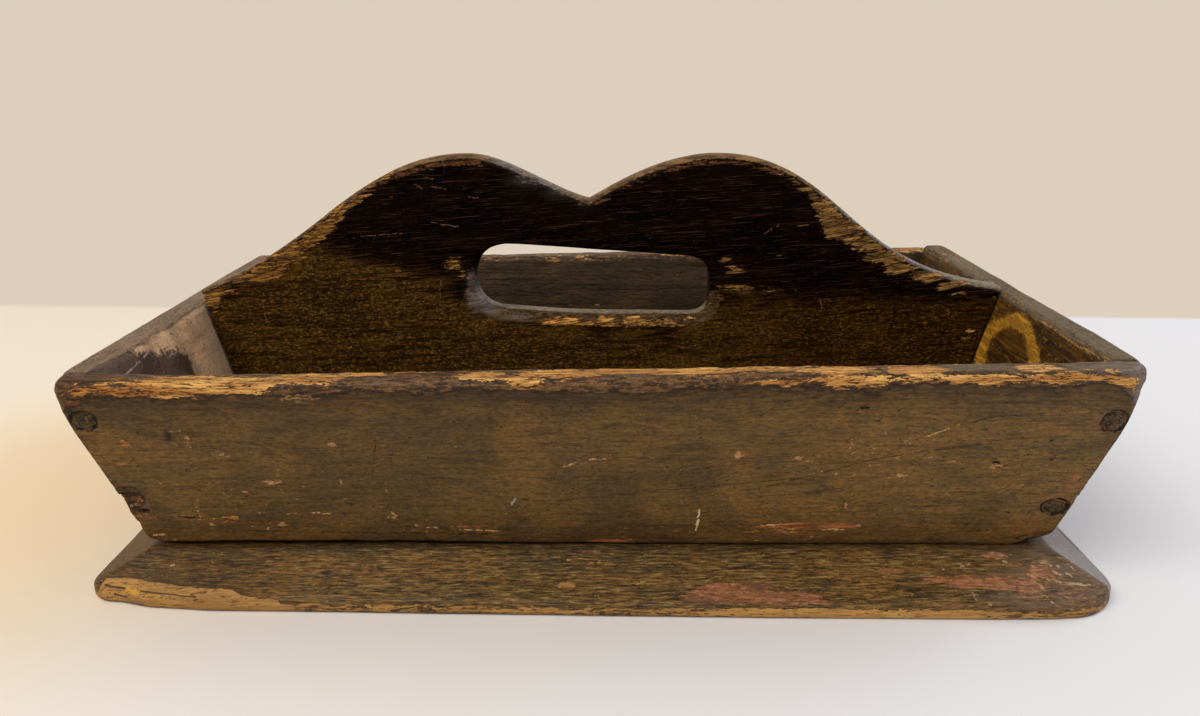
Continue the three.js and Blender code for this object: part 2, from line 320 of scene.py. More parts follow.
def handle_board():
    def shape(p):
        x, y, z = p.T
        slab = np.abs(y) - HANDLE_HALF
        hump = smooth(108.0, 132.0, z)
        body = rounded(2.4 + 0.6 * hump, slab, handle_edge(x, z))
        near = smooth(1.0, -1.0, y)
        body = rounded(0.9 + (0.5 + 4.0 * near) * hole_worn(x, z), body, -hole_edge(x, z))
        for side, gap in ((-1, 0.8), (1, GAP)):
            body = rounded(0.5, body, outer_end(p, side) + THICKNESS + gap)
        return rounded(0.5, body, BASE_HEIGHT + GAP - z)
    return shape


def base_front(x):
    """Half width of the bottom board at its front edge, which isn't cut square."""
    return np.interp(
        x, [-182, -169, -157, -138, -69, 0, 68, 136, 154, 165, 182],
        [107.0, 108.2, 111.8, 114.1, 115.6, 117.7, 118.8, 119.7, 119.5, 118.5, 116.6])


BASE_NAILS = (
    [(x, side * (FOOT_Y - ACROSS / 2 - BASE_HEIGHT * SLOPE)) for side in (-1, 1) for x in (-112, 0, 112)]
    + [(side * (FOOT_X - ACROSS / 2 - BASE_HEIGHT * SLOPE), y) for side in (-1, 1) for y in (-40, 40)]
    + [(x, 0.0) for x in (-92, 92)])


def bevel(across, top, edge, z):
    """The sloping edge from the top of the bottom board, at top, down to its thin edge."""
    run, drop = edge - top, BASE_HEIGHT - BASE_EDGE
    length = np.hypot(run, drop)
    return ((across - top) * drop + (z - BASE_HEIGHT) * run) / length


def bottom_board():
    def shape(p):
        x, y, z = p.T
        half_x, half_y = FOOT_X + BASE_MARGIN, FOOT_Y + BASE_MARGIN
        front, extra = base_front(x), np.where(x > 0, BASE_RIGHT, 0.0)
        plan = [np.abs(x) - BASE_LENGTH / 2 - extra, -y - front, y - BASE_BACK]
        corner = np.where(y < 0, np.where(x < 0, 9.0, 19.5), 4.0)
        edge = rounded(corner, *plan)
        slopes = [
            bevel(-y, half_y, front, z), bevel(y, half_y, BASE_BACK, z),
            bevel(np.abs(x), half_x, BASE_LENGTH / 2 + extra, z)]
        body = rounded(0.7, z - BASE_HEIGHT, *slopes)
        body = rounded(1.4, body, edge)
        body = rounded(1.0, body, -z)
        for nx, ny in BASE_NAILS:
            away = np.hypot(x - nx, y - ny)
            pit = 2.4 - z - 2.4 * smooth(4.4, 7.0, away) - 4.0 * smooth(6.5, 9.0, away)
            body = np.maximum(body, pit)
        return body
    return shape


# Meshes

def ticks(*spans):
    """Grid lines: each span is (start, stop, step)."""
    lines = [np.arange(start, stop - step * 0.25, step) for start, stop, step in spans]
    return np.concatenate(lines + [[spans[-1][1]]])


def gradient(shape, p, step=0.04):
    base = shape(p)
    slope = np.stack([shape(p + step * np.eye(3)[k]) - base for k in range(3)], -1) / step
    return base, slope


def skin(shape, place, axes):
    """Surface of a solid given by its signed distance, on a grid laid along its own faces."""
    grid = np.stack(np.meshgrid(*axes, indexing="ij"), -1)
    origin, frame_axes = place
    world = grid.reshape(-1, 3) @ frame_axes + origin
    value = shape(world).reshape(grid.shape[:3])
    world = world.reshape(grid.shape)
    inside = value < 0.0
    cells = np.array(value.shape) - 1
    found, points, loops = [], [], []
    for a in range(3):
        low = tuple(slice(None, -1) if k == a else slice(None) for k in range(3))
        high = tuple(slice(1, None) if k == a else slice(None) for k in range(3))
        crosses = inside[low] != inside[high]
        index = np.argwhere(crosses)
        va, vb = value[low][crosses], value[high][crosses]
        t = (va / (va - vb))[:, None]
        where = world[low][crosses] * (1 - t) + world[high][crosses] * t
        b, c = (a + 1) % 3, (a + 2) % 3
        ring = []
        for db, dc in ((0, 0), (1, 0), (1, 1), (0, 1)):
            cell = index.copy()
            cell[:, b] -= db
            cell[:, c] -= dc
            ring.append(np.ravel_multi_index(cell.T, cells))
            found.append(ring[-1])
            points.append(where)
        ring = np.stack(ring, -1)
        ring[inside[low][crosses]] = ring[inside[low][crosses]][:, ::-1]
        loops.append(ring)
    found, points = np.concatenate(found), np.concatenate(points)
    used, vertex = np.unique(found, return_inverse=True)
    count = np.bincount(vertex)[:, None]
    p = np.stack([np.bincount(vertex, points[:, k]) for k in range(3)], -1) / count
    quads = np.searchsorted(used, np.concatenate(loops))
    return p, quads


LEAST_SQUARE, LONGEST_MOVE = 0.3, 1.2


def settle(shape, p, offset):
    """Move the points onto the surface that lies offset below the shape's own."""
    for _ in range(3):
        value, slope = gradient(shape, p)
        square = np.maximum(np.sum(slope * slope, axis=1), LEAST_SQUARE)
        p = p - slope * (np.clip(value + offset, -LONGEST_MOVE, LONGEST_MOVE) / square)[:, None]
    return p


def relax(p, quads):
    """Move each point half way to the middle of its neighbours."""
    pairs = np.concatenate([quads[:, [n, (n + 1) % 4]] for n in range(4)])
    total = np.zeros_like(p)
    for k in range(3):
        total[:, k] = np.bincount(pairs[:, 0], p[pairs[:, 1], k], len(p))
        total[:, k] += np.bincount(pairs[:, 1], p[pairs[:, 0], k], len(p))
    count = np.bincount(pairs.ravel(), minlength=len(p))[:, None]
    return 0.5 * p + 0.5 * total / count


def build_piece(name, p, quads, attributes):
    edge_a = p[quads[:, 1]] - p[quads[:, 0]]
    edge_b = p[quads[:, 3]] - p[quads[:, 0]]
    volume = np.sum(np.cross(edge_a, edge_b) * p[quads[:, 0]])
    if volume < 0:
        quads = quads[:, ::-1]
    mesh = bpy.data.meshes.new(name)
    mesh.vertices.add(len(p))
    mesh.vertices.foreach_set("co", (p * MM).astype(np.float32).ravel())
    mesh.loops.add(quads.size)
    mesh.loops.foreach_set("vertex_index", quads.astype(np.int32).ravel())
    mesh.polygons.add(len(quads))
    mesh.polygons.foreach_set("loop_start", np.arange(0, quads.size, 4, dtype=np.int32))
    mesh.update(calc_edges=True)
    mesh.validate()
    mesh.shade_smooth()
    for key, values in attributes.items():
        layer = mesh.attributes.new(key, "FLOAT", "POINT")
        layer.data.foreach_set("value", np.clip(values, -4.0, 4.0).astype(np.float32))
    piece = bpy.data.objects.new(name, mesh)
    bpy.context.scene.collection.objects.link(piece)
    return piece


def face_frame(origin, *axes):
    return np.array(origin, float), np.array(axes, float)


def long_frame(side):
    return face_frame(
        (0, side * FOOT_Y, BASE_HEIGHT), (1, 0, 0), (0, side * SIN, COS), (0, side * COS, -SIN))


def end_frame(side):
    return face_frame(
        (side * FOOT_X, 0, BASE_HEIGHT), (0, 1, 0), (side * SIN, 0, COS), (side * COS, 0, -SIN))


FLAT = face_frame((0, 0, 0), (1, 0, 0), (0, 1, 0), (0, 0, 1))


# Wear, dirt, painted shade and painted sheen, as one number per point and kind: a shader turns it into colour
# with a ragged edge

RIM_SOFT, ON_RIM = 1.6, 0.6


def rim_unrolled(p, side):
    """Distance from the inner arris of a long board's rim, over the top and down the outside."""
    top = rim_height(p[:, 0])
    across, depth = side * p[:, 1] - (FOOT_Y + lean_out(top) - ACROSS), top - p[:, 2]
    inner = -outer_long(p, side) - THICKNESS > -1.0
    return np.where(inner & (depth > 2.0), -depth, np.maximum(across, 0.0) + depth)


# Marks on the front: (x, height or distance over the rim, half width, half height, strength)
FRONT_OCHRE = [
    (-169, 13, 6, 3, 0.46), (-155, 13, 12, 4, 0.62), (-138, 11, 16, 4.6, 1.1), (-120, 10, 16, 5.5, 1.15),
    (-158, 7, 13, 3, 0.4), (-136, 5, 14, 3, 0.85), (-97, 6, 13, 6, 0.92), (-80, 3, 9, 2.8, 1),
    (-62, 2, 8, 1.4, 0.6), (-38, 7, 8, 4.5, 1), (-24, 10, 7, 5, 0.85), (-12, 6, 12, 4.5, 1.1),
    (8, 4, 13, 3.4, 1), (30, 5, 17, 4, 1.1), (52, 4, 13, 3.4, 0.95), (58, 14, 9, 2.2, 0.65),
    (78, 6, 14, 4.5, 1.05), (82, 13, 15, 2.8, 0.9), (103, 8, 10, 6, 1.1), (122, 13.5, 15, 2.4, 1),
    (143, 7, 8, 4, 0.95), (150, 13, 13, 2.4, 0.85), (163, 9.5, 6, 2, 0.45), (166, 14, 9, 2.4, 0.85),
    (173, 16, 5, 1.6, 0.6), (128, 1, 16, 1.2, 0.5),
]
# Grey on the rim: worn grey paint, and towards the right end a painted blue-grey sheen.
FRONT_GREY = [
    (-72, 10, 8, 4, 0.5), (122, 5, 14, 4.5, 1), (158, 7.5, 14, 2.8, 0.9), (172, 9, 8, 9, 0.9),
    (-35, 3, 3, 3, 0.9), (10, 9, 5, 4, 0.5), (62, 3, 5, 3, 0.7), (88, 2, 10, 1.6, 0.6),
]
FRONT_RED = [
    (74, 24.7, 22, 1.5, 0.92), (4, 17.6, 9, 1.4, 0.8), (9, 19.5, 6, 1.6, 0.55), (163, 43, 3, 4.5, 0.65),
    (47, 55.6, 2, 1.2, 0.6), (156, 18.5, 8, 1.4, 0.8), (-138, 27.5, 6, 0.8, 0.35), (-26, 75.5, 3, 1.2, 0.5),
    (60, 22, 14, 1, 0.55), (-50, 24, 16, 0.8, 0.5), (-160.5, 28.5, 4, 1.2, 0.75), (154, 21.5, 8, 1, 0.55),
]
FRONT_CHIPS = [
    (-159.7, 60.3, 1.8, 1.6, 0.72), (-163, 52, 2, 0.8, 0.6), (-131.5, 28.7, 3.6, 2.2, 0.62),
    (-136.5, 27.4, 3, 0.9, 0.5), (-8, 77.3, 5, 0.6, 0.7), (90.5, 77.2, 1.4, 1.2, 0.65),
    (-97, 77, 2.4, 0.7, 0.55), (-113, 44.2, 2.4, 0.6, 0.6), (103, 47.3, 2.2, 1.1, 0.5),
    (-156.5, 36.5, 1.4, 3, 0.45), (-163, 29.3, 2.4, 0.8, 0.6), (-167.2, 43.2, 0.8, 2.4, 0.5),
]
FRONT_PATCHES = [
    (-164, 37, 4.6, 5.2, 1), (-166.5, 29.5, 2.6, 4, 0.9), (155, 19.5, 8, 1.6, 0.7),
]
FRONT_SCARS = [
    (-96.5, 78.4, 6.5, 2.2, 0.6), (-165.8, 36, 3, 5, 0.5), (-167.8, 41.5, 1.8, 3, 0.6),
    (-144.4, 63.1, 1.3, 2.6, 0.85), (-112.4, 56.7, 2.6, 1.8, 0.5), (54, 78.6, 2.4, 0.6, 0.6),
    (-66, 38, 1.5, 0.8, 0.5), (-164.5, 24.5, 1.8, 1.6, 0.6),
]
FRONT_FLECKS = [
    (134.6, 50.6, 2.8, 0.8, 0.8), (151.3, 60.3, 1.4, 0.6, 0.6), (86, 72.8, 2, 0.5, 0.5),
    (-142, 64.9, 2.4, 0.7, 0.8), (-137.9, 60.6, 2.4, 2.5, 0.5), (-128.3, 54.7, 3, 1.9, 0.5),
    (-113.1, 43.9, 3.1, 1.1, 1), (-110.3, 46.9, 0.9, 0.8, 0.8), (-122.4, 39.5, 1.6, 0.8, 0.8),
    (-151.3, 43.3, 1.5, 0.6, 0.6), (-108.2, 30.5, 2.3, 0.5, 0.8), (-89.2, 43.3, 0.7, 3.1, 0.5),
    (-88.7, 36.7, 1, 3.1, 0.45), (-74.1, 41.4, 0.6, 3.1, 0.5), (-73.3, 29.2, 2.5, 2, 0.6),
    (-65.1, 25.3, 1, 0.7, 0.8), (-112.9, 25.5, 1.9, 0.7, 0.9), (-117.9, 23.4, 0.6, 0.7, 1.2),
    (-97.7, 18.1, 0.9, 0.8, 0.7), (-157.8, 20.6, 2.6, 0.7, 0.9), (-150, 29.2, 1.9, 0.6, 0.8),
    (-141.3, 31.2, 0.9, 4, 0.6), (-137.5, 25.5, 1.5, 0.7, 0.8), (-154.8, 18.1, 3.9, 0.7, 0.6),
    (-90, 59.8, 1.3, 0.9, 0.9), (-123.3, 24.7, 1, 0.5, 0.5), (-163, 33.5, 3.6, 0.7, 0.6),
    (47, 55.4, 1.5, 2, 0.8), (67.4, 54.1, 1.8, 0.7, 0.9), (69.9, 52.9, 1.4, 0.6, 0.6),
    (74.1, 54.8, 0.8, 0.6, 0.7), (78.5, 52.1, 0.6, 1, 0.8), (84.5, 59.1, 0.6, 2.3, 0.9),
    (85.4, 56.8, 1.1, 1.1, 0.6), (91.1, 57, 2.4, 1.3, 0.6), (74.6, 47.8, 2.1, 0.6, 0.8),
    (80.6, 47.3, 0.7, 0.8, 0.9), (88.4, 47.3, 2.5, 0.6, 0.7), (95, 64.5, 0.7, 0.7, 0.9),
    (103.9, 61.1, 2, 1.5, 0.6), (100.7, 54, 1.4, 0.7, 0.8), (104.2, 54.8, 0.9, 0.8, 0.5),
    (111.9, 54.5, 0.9, 0.7, 0.8), (103.1, 47, 2.1, 1, 0.8), (105.5, 49.1, 1.1, 1.7, 0.5),
    (120.3, 53.1, 1.1, 1.2, 0.5), (86.1, 33.5, 0.7, 1.8, 0.9), (96.7, 34.1, 1.1, 0.6, 0.5),
    (67.6, 22.9, 1.9, 0.5, 1), (82.9, 23.1, 2.8, 0.5, 1.1), (62.9, 20.1, 1.1, 0.7, 0.7),
    (75.8, 19.9, 1.9, 0.7, 0.7), (69.3, 16.9, 2.9, 0.5, 0.7), (55.6, 18.1, 1.1, 0.6, 0.8),
    (60.6, 25.2, 2.4, 0.5, 0.9), (113.2, 20.6, 1.4, 0.5, 0.4), (120.1, 38.9, 2.8, 0.5, 0.5),
    (92, 25, 1.2, 1.2, 0.7), (96, 52, 14, 9, 0.24), (-120, 40, 26, 14, 0.18), (150, 50, 12, 16, 0.2),
    (-60, 24, 26, 4, 0.2), (20, 22, 26, 4, 0.18),
]


def nail_edge(u, v, heads):
    """Distance in millimetres outside the nearest nail head, less than 0 on it."""
    nearest = np.full(len(u), 9.0)
    for cu, cv, ru, rv in heads:
        away = np.hypot((u - cu) / ru, (v - cv) / rv)
        nearest = np.minimum(nearest, (away - 1.0) * min(ru, rv))
    return nearest


def long_wear(p, side):
    x, z = p[:, 0], p[:, 2]
    q = rim_unrolled(p, side)
    edge = 15.6 + 1.3 * ripple(p, (14, FAR, FAR), 5) + 0.7 * ripple(p, (4, FAR, FAR), 6)
    edge = edge + 4.5 * smooth(164.0, 178.0, np.abs(x))
    rim = (edge - np.where(q < 0, 15.0 - 4.0 * q, q)) / RIM_SOFT
    if side > 0:
        worn = (4.4 + 1.6 * ripple(p, (12, FAR, FAR), 11) + q) / RIM_SOFT
        rim = np.where(q < 0, worn, rim)
    on_rim = smooth(-ON_RIM, ON_RIM, rim)
    outside = smooth(-2.0, -0.6, outer_long(p, side))
    rise = 0.09 * 8.0 * np.logaddexp(0.0, (x - 22.0) / 8.0) * smooth(18.0, 62.0, z)
    arris = np.exp(-((np.maximum(outer_end(p, -1), outer_end(p, 1))) / 1.1) ** 2)
    foot = np.exp(-((z - BASE_HEIGHT) / 2.0) ** 2)
    # Painted shade: a darker band on the outside just under the rim's worn edge, fading downwards.
    shade = 0.6 * np.exp(-(np.maximum(q - edge, 0.0) / 8.5) ** 1.25) * (1 - on_rim)
    inner = smooth(-1.5, -0.4, -outer_long(p, side) - THICKNESS) * (q < 0)
    heads = [
        (centre[0], centre[2], *size) for end, level, centre, size in corner_nails(side)
        if (side, end, level) != SUNK_NAIL]
    if side < 0:
        bare, grey, red = blobs(x, q, FRONT_OCHRE), blobs(x, q, FRONT_GREY), blobs(x, z, FRONT_RED)
        marks, scars, flecks = (blobs(x, z, spots) for spots in (FRONT_CHIPS, FRONT_SCARS, FRONT_FLECKS))
        patches = 2.4 * blobs(x, z, FRONT_PATCHES) - 1.2
    else:
        bare, grey = 0.42 + 0.25 * ripple(p, (28, FAR, FAR), 7), 0.5 + 0.5 * ripple(p, (22, 30, 30), 8)
        red = 0.4 * ripple(p, (30, 20, 6), 9)
        marks = scars = flecks = np.zeros(len(x))
        patches = np.full(len(x), -3.0)
    return {
        "rim": np.clip(np.maximum(rim, patches * outside), -3, 3),
        "flow": -rise - 1.6 * ripple(p, (70, FAR, 40), 12) - 0.5 * ripple(p, (24, FAR, 12), 13),
        "fleck": flecks * outside * (1 - on_rim),
        "bare": bare * on_rim + np.maximum(marks, 0.34 * arris) * outside * (1 - on_rim),
        "grey": grey * on_rim,
        "under": red * outside,
        # Darker at the foot joint, the end arrises and the scars, with the painted shade under the rim.
        "grime": np.maximum.reduce([0.6 * foot, 0.25 * arris, shade, scars]) * outside,
        "inner": inner * (1.0 - on_rim),
        "seat": np.where(outside > 0.5, nail_edge(x, z, heads), 9.0),
    }


LEFT_STAIN = [
    (-112, 92), (-92, 90), (-86, 86.5), (-80, 84), (-73, 82), (-66, 79.3), (-54, 77), (-43, 74), (-35, 69.5),
    (-30, 60),
]


def end_wear(p, side):
    y, z = p[:, 1], p[:, 2]
    top = RIM_HEIGHT + END_PROUD + side * RIM_RISE / 2
    across = -outer_end(p, side)
    depth = top - z
    inside = smooth(THICKNESS - 1.5, THICKNESS - 0.4, across)
    reach = 10.8 - 1.8 * smooth(-80.0, -100.0, y) + 0.6 * ripple(p, (FAR, 7, FAR), 22)
    edge = 4.4 + 1.2 * ripple(p, (FAR, 14, FAR), 15) + 0.6 * ripple(p, (FAR, 4, FAR), 16)
    edge = np.where(across > THICKNESS / 2, 2.2 + 0.8 * ripple(p, (FAR, 6, FAR), 17), edge)
    rim = (edge - depth) / RIM_SOFT
    on_rim = smooth(-ON_RIM, ON_RIM, rim)
    bare = 0.24 + 0.26 * ripple(p, (FAR, 26, FAR), 18)
    grey = 0.6 + 0.5 * ripple(p, (30, 30, 30), 19)
    if side < 0:
        inside = smooth(-0.7, 0.7, across - reach)
        rim = np.where(across > 8.0, (reach - across) / RIM_SOFT, rim)
        on_rim = smooth(-ON_RIM, ON_RIM, rim)
        line = np.array(LEFT_STAIN, float)
        stain = np.minimum(np.interp(y, line[:, 0], line[:, 1]) - z, -33.0 - 0.3 * (78.0 - z) - y) / 3.0
        stain = np.minimum(stain, (z - 44.0) / 8.0)
    else:
        wide = 25.0 - 7.0 * smooth(72.0, 84.0, z)
        stain = (np.hypot((y + 34.0) / wide, (z - 68.0) / 14.5) - 1.0) * 13.5
        inner_lip = smooth(4.0, 0.0, THICKNESS - across) * smooth(-20, -50, y) * (depth > 1.0)
        bare = np.maximum(bare, 0.75 * inner_lip)
    heads = [(0.0, height, *HANDLE_SEAT) for height in HANDLE_NAIL_HEIGHTS.values()]
    return {
        "rim": np.clip(rim, -3, 3),
        "bare": bare * on_rim,
        "grey": np.clip(grey, 0, 1) * on_rim,
        "under": 0.4 * ripple(p, (20, 30, 6), 20) * (1 - inside),
        # Darker along the foot, where the end board stands on the bottom board: dirt and painted shade in the
        # joint.
        "grime": 0.5 * np.exp(-((z - BASE_HEIGHT) / 3.0) ** 2),
        "inner": inside * (1 - on_rim),
        "stain": np.clip(stain, -20, 20),
        "seat": np.where(inside < 0.5, nail_edge(y, z, heads), 9.0),
    }


# Along the handle board: (x, depth of the torn band), (x, height of the dark paint's lower edge)
TEAR_LEFT = [
    (-172, 3), (-163.4, 9.5), (-158, 5), (-150, 6.5), (-144.5, 7.8), (-138.9, 10.2), (-133.4, 9.9),
    (-127.9, 9), (-122.4, 10), (-116.9, 10.5), (-111.4, 9.6), (-106, 6.4), (-100.5, 5), (-95.1, 3.4),
    (-88, 1.2), (-82, -1),
]
TEAR_RIGHT = [
    (66, -1), (70.8, 2.6), (79.5, 4.2), (84.4, 6.2), (89.3, 10.2), (94.3, 16.8), (99.3, 12.5), (104.3, 10.8),
    (109.3, 11.6), (114.3, 10.2), (119.4, 10.7), (124.5, 8.8), (129.5, 6.4), (134.6, 6.9), (139.7, 4.9),
    (144.7, 6.4), (149.7, 4.5), (158, -1),
]
DARK_BORDER = [
    (-175, 86), (-166, 88), (-150, 92), (-134, 98), (-118, 106), (-100, 101), (-80, 96), (-64, 92), (-52, 84),
    (-30, 74), (30, 72), (50, 86), (66, 86), (90, 86), (120, 86), (150, 84), (175, 82),
]
HANDLE_TEARS = [
    (-61.5, 100.5, 4, 2.6, 0.7), (-58, 96, 2, 3, 0.5), (56, 98, 5, 2, 0.75), (52, 102.5, 3, 1.6, 0.6),
    (57, 90.5, 8, 1.6, 0.7), (50, 86, 3, 3, 0.5), (72, 89.6, 5, 1.4, 0.5), (-70.5, 136, 3, 0.9, 0.6),
    (-85, 97.2, 2.4, 0.9, 0.6), (157.5, 71.7, 3, 1, 0.65), (156.5, 68.2, 2.8, 1, 0.65),
    (-163, 83, 5, 3.5, 0.55), (-157, 79, 3, 1, 0.5), (75, 104.2, 2, 0.7, 0.6), (155, 62.6, 2, 0.8, 0.5),
    (166.5, 86, 2.4, 1, 0.6), (106, 93.7, 1.6, 0.6, 0.5), (121.5, 68.8, 2.4, 0.6, 0.5),
    (149, 71.3, 3, 0.6, 0.5), (-84, 121.7, 2.4, 0.6, 0.5), (-86.3, 128.2, 2.2, 0.6, 0.45),
    (-74, 132.6, 2, 0.7, 0.45), (-16, 75.4, 9, 1.8, 0.95), (2.5, 75.9, 4, 1.5, 0.8),
    (14.7, 75.4, 5.5, 2, 1.05), (28, 75.6, 7, 1.1, 0.6), (37, 76.8, 4, 0.8, 0.6),
    (47.5, 86.5, 2.6, 1.4, 0.55), (46.5, 83, 3.4, 1.2, 0.5), (50, 81, 4, 0.8, 0.4),
]
HANDLE_SHEEN = [
    (-52.5, 86, 4.5, 7, 0.95), (-46, 80.5, 5, 3, 0.8), (-36, 77.4, 7, 1.6, 0.55), (-28, 135.5, 8, 2.6, 0.6),
    (-15, 130.5, 7, 2.6, 0.6), (-6, 126, 4, 3, 0.5),
]


def along_line(line, x):
    points = np.array(line, float)
    return np.interp(x, points[:, 0], points[:, 1])


def handle_wear(p):
    x, y, z = p.T
    depth = handle_top(x) - z
    band = np.where(x < 0, along_line(TEAR_LEFT, x), along_line(TEAR_RIGHT, x))
    tear = np.minimum(band - depth, 1.4 * (depth - 0.9)) / 3.0
    by_hole = (np.abs(z - 80.0) < 12) * (np.abs(x) < 52)
    front = np.maximum(smooth(2.0, 5.0, -y), smooth(1.5, 3.0, -y) * by_hole)
    spots = blobs(x, z, HANDLE_TEARS)
    lip = -hole_edge(x, z)
    rounding = smooth(-1.5, -3.0, y)
    worn_lip = np.exp(-((lip + 3.9) / 1.7) ** 2) * smooth(88.0, 78.0, z) * rounding
    worn_lip = worn_lip * smooth(-34.0, -22.0, x) * smooth(44.0, 36.0, x)
    brown_lip = np.exp(-(np.maximum(-lip - 3.6, 0.0) / 1.4) ** 2) * smooth(92.0, 86.0, z) * rounding
    border = along_line(DARK_BORDER, x) + 4.0 * ripple(p, (30, 40, 8), 33)
    crest = np.exp(-(np.maximum(depth - 0.8, 0.0) / 0.9) ** 2)
    lip_low = np.exp(-(np.maximum(-lip - 0.7, 0.0) / 1.0) ** 2) * smooth(94.0, 86.0, z)
    lip_low = lip_low * smooth(-3.2, -1.2, y) * smooth(47.5, 43.5, x)
    # The hole's left lip, which the shader colours as a painted blue-grey sheen.
    lip_left = np.exp(-((lip + 1.8) / 2.4) ** 2) * smooth(-40.0, -50.0, x) * smooth(104.0, 94.0, z)
    sparse = 0.45 * smooth(92.0, 84.0, x) * (x > 0)
    humps = smooth(100.0, 118.0, z)
    back = 0.5 * ripple(p, (26, 26, 7), 34) - 0.1
    under = (0.4 * humps + 0.15 * smooth(132.0, 142.0, z)) * np.exp(-((depth - 3.0) / 1.8) ** 2) * front
    under = under * (1.0 - 0.1 * smooth(5.0, 15.0, x) * smooth(80.0, 70.0, x))
    return {
        "tear": np.clip(np.where(front > 0.5, tear - sparse, np.minimum(tear, 0.3) - 0.35), -2, 1.2),
        "bare": np.maximum(spots * front, 0.62 * worn_lip) + back * (1 - np.maximum(front, rounding)),
        "dark": (z - border) / 7.0,
        # arris: worn crests and hole lips plus the sheen patches; the shader colours these partly as wear and
        # partly as painted sheen.
        "arris": np.maximum.reduce([crest, 0.9 * lip_low, lip_left, blobs(x, z, HANDLE_SHEEN) * rounding]),
        "lip": brown_lip,
        "under": under * (1.0 - 0.8 * smooth(-50.0, -44.0, x) * smooth(-2.0, -6.0, x)),
    }


# On the bottom board: (x, height of the bare wedge's top), and marks as on the front
WEDGE_TOP = [
    (-182, -1), (-177.5, 3), (-174.8, 7.6), (-168.1, 8.2), (-160.8, 8.1), (-153.9, 7.8), (-147, 7.4),
    (-139, 7), (-130.6, 6.9), (-127.8, 6.8), (-125.1, 5.7), (-121.7, 5.3), (-118.3, 5.1), (-114.3, 4.9),
    (-110.7, 4.2), (-109.6, 2.4), (-108.8, -1),
]
BASE_RED = [
    (45, 7, 18, 2.2, 0.9), (66, 6.2, 14, 1.6, 0.8), (102, 11.4, 7, 0.7, 0.75), (118, 9.7, 7, 0.8, 0.9),
    (127, 9.4, 8, 1.2, 1.05), (139, 9.2, 8, 1.4, 1), (147, 8.6, 7, 1.6, 0.85), (153.5, 11, 5, 1.5, 0.95),
    (140.5, 14.1, 5, 0.7, 0.9), (158, 10.4, 4, 1.2, 0.7), (150, 6.8, 8, 0.6, 0.6), (128.5, 7.2, 2, 1, 0.5),
    (165, 7.5, 10, 2.5, 0.45), (-2, 15, 8, 0.5, 0.6), (118, 5, 16, 1, 0.45), (-166, 11.5, 2, 1.2, 0.45),
]
BASE_CHIPS = [
    (-11, 8.3, 3.4, 0.7, 0.75), (14.7, 8.8, 2.6, 0.9, 0.55), (-44, 15.2, 2.5, 0.5, 0.6),
    (45, 7.3, 3.5, 0.6, 0.65), (52, 13, 2, 0.7, 0.55), (-58, 12.5, 2.5, 0.6, 0.5), (-7, 13, 12, 0.5, 0.5),
    (-134, 13.8, 2.5, 0.8, 0.5), (167, 5, 3, 0.7, 0.5),
]


def base_wear(p):
    x, y, z = p.T
    front, left = smooth(88.0, 92.0, -y), x < 0
    edge = np.exp(-(np.maximum(z - 2.8, 0.0) / (0.9 + 0.6 * ripple(p, (30, 300, 300), 41))) ** 2)
    sides = np.maximum.reduce([-y - 110.0, y - 112.0, np.abs(x) - 176.0])
    edge = edge * smooth(0.0, 3.0, sides)
    edge = edge * (1.0 + 0.45 * smooth(20.0, 60.0, x) * smooth(150.0, 135.0, x) * (y < 0))
    corner = np.exp(-((np.abs(x) - 176) ** 2 + (np.abs(y) - 111) ** 2) / 60.0)
    corner = corner * np.where(y < 0, np.where(x > 0, 0.25, 0.5), 1.0)
    slant = np.where(left, np.where(y < 0, 9.8, 0.0), 1.8)
    mitre = np.abs(x) - np.abs(y) - 64.0 - (16.0 - z) / 11.0 * slant
    within = (np.abs(x) < FOOT_X - 4) & (np.abs(y) < FOOT_Y - 4) & (z > 10)
    wedge = (along_line(WEDGE_TOP, x) - z) / 1.5
    wedge = np.clip(np.minimum(wedge, np.where(z > 5.0, -mitre - 0.6, 3.0)), -3, 3)
    return {
        "bare": np.maximum.reduce([blobs(x, z, BASE_CHIPS) * front, 0.6 * edge, 0.42 * corner]),
        "wedge": np.where(front > 0.2, wedge, -3.0),
        # Painted reflection: a pale grey sheen on the right end's bevel.
        "dust": smooth(0.2, 1.6, mitre) * smooth(15.6, 14.6, z) * smooth(3.6, 5.0, z) * (x > 0),
        "under": np.where(front > 0.5, blobs(x, z, BASE_RED), 0.55 * ripple(p, (40, 40, 8), 42)),
        # Darker round the top, where the boards stand on it: dirt and painted shade along the joint.
        "grime": 0.6 * np.exp(-((z - BASE_HEIGHT) / 1.2) ** 2) * (1.0 - within),
        "inner": within.astype(float),
        "belly": smooth(2.0, 0.5, z) * (sides < 1.0),
    }


def waves(p, seed, amount):
    """How far the wood's face strays from flat: long swells, planing marks and small knocks."""
    return amount * (
        0.3 * ripple(p, (70, 70, 70), seed) + 0.16 * ripple(p, (18, 18, 18), seed + 1)
        + 0.07 * ripple(p, (5, 5, 5), seed + 2))


boards = {}


def make_board(node, shape, place, spans, wear, seed, amount=1.0, relief=None):
    p, quads = skin(shape, place, [ticks(*axis) for axis in spans])
    p = relax(p, quads)
    offset = waves(p, seed, amount)
    if relief is not None:
        offset = offset + relief(p)
    p = settle(shape, p, offset)
    boards[node] = build_piece(node + "_worn", p, quads, wear(p))


def rim_relief(side):
    def relief(p):
        wear = long_wear(p, side)
        rough = ripple(p, (7, 2.2, 2.2), 51) + 0.5 * ripple(p, (3, 1.2, 1.2), 52)
        return (0.25 * rough + 0.2 * wear["bare"]) * smooth(-0.3, 0.3, wear["rim"])
    return relief


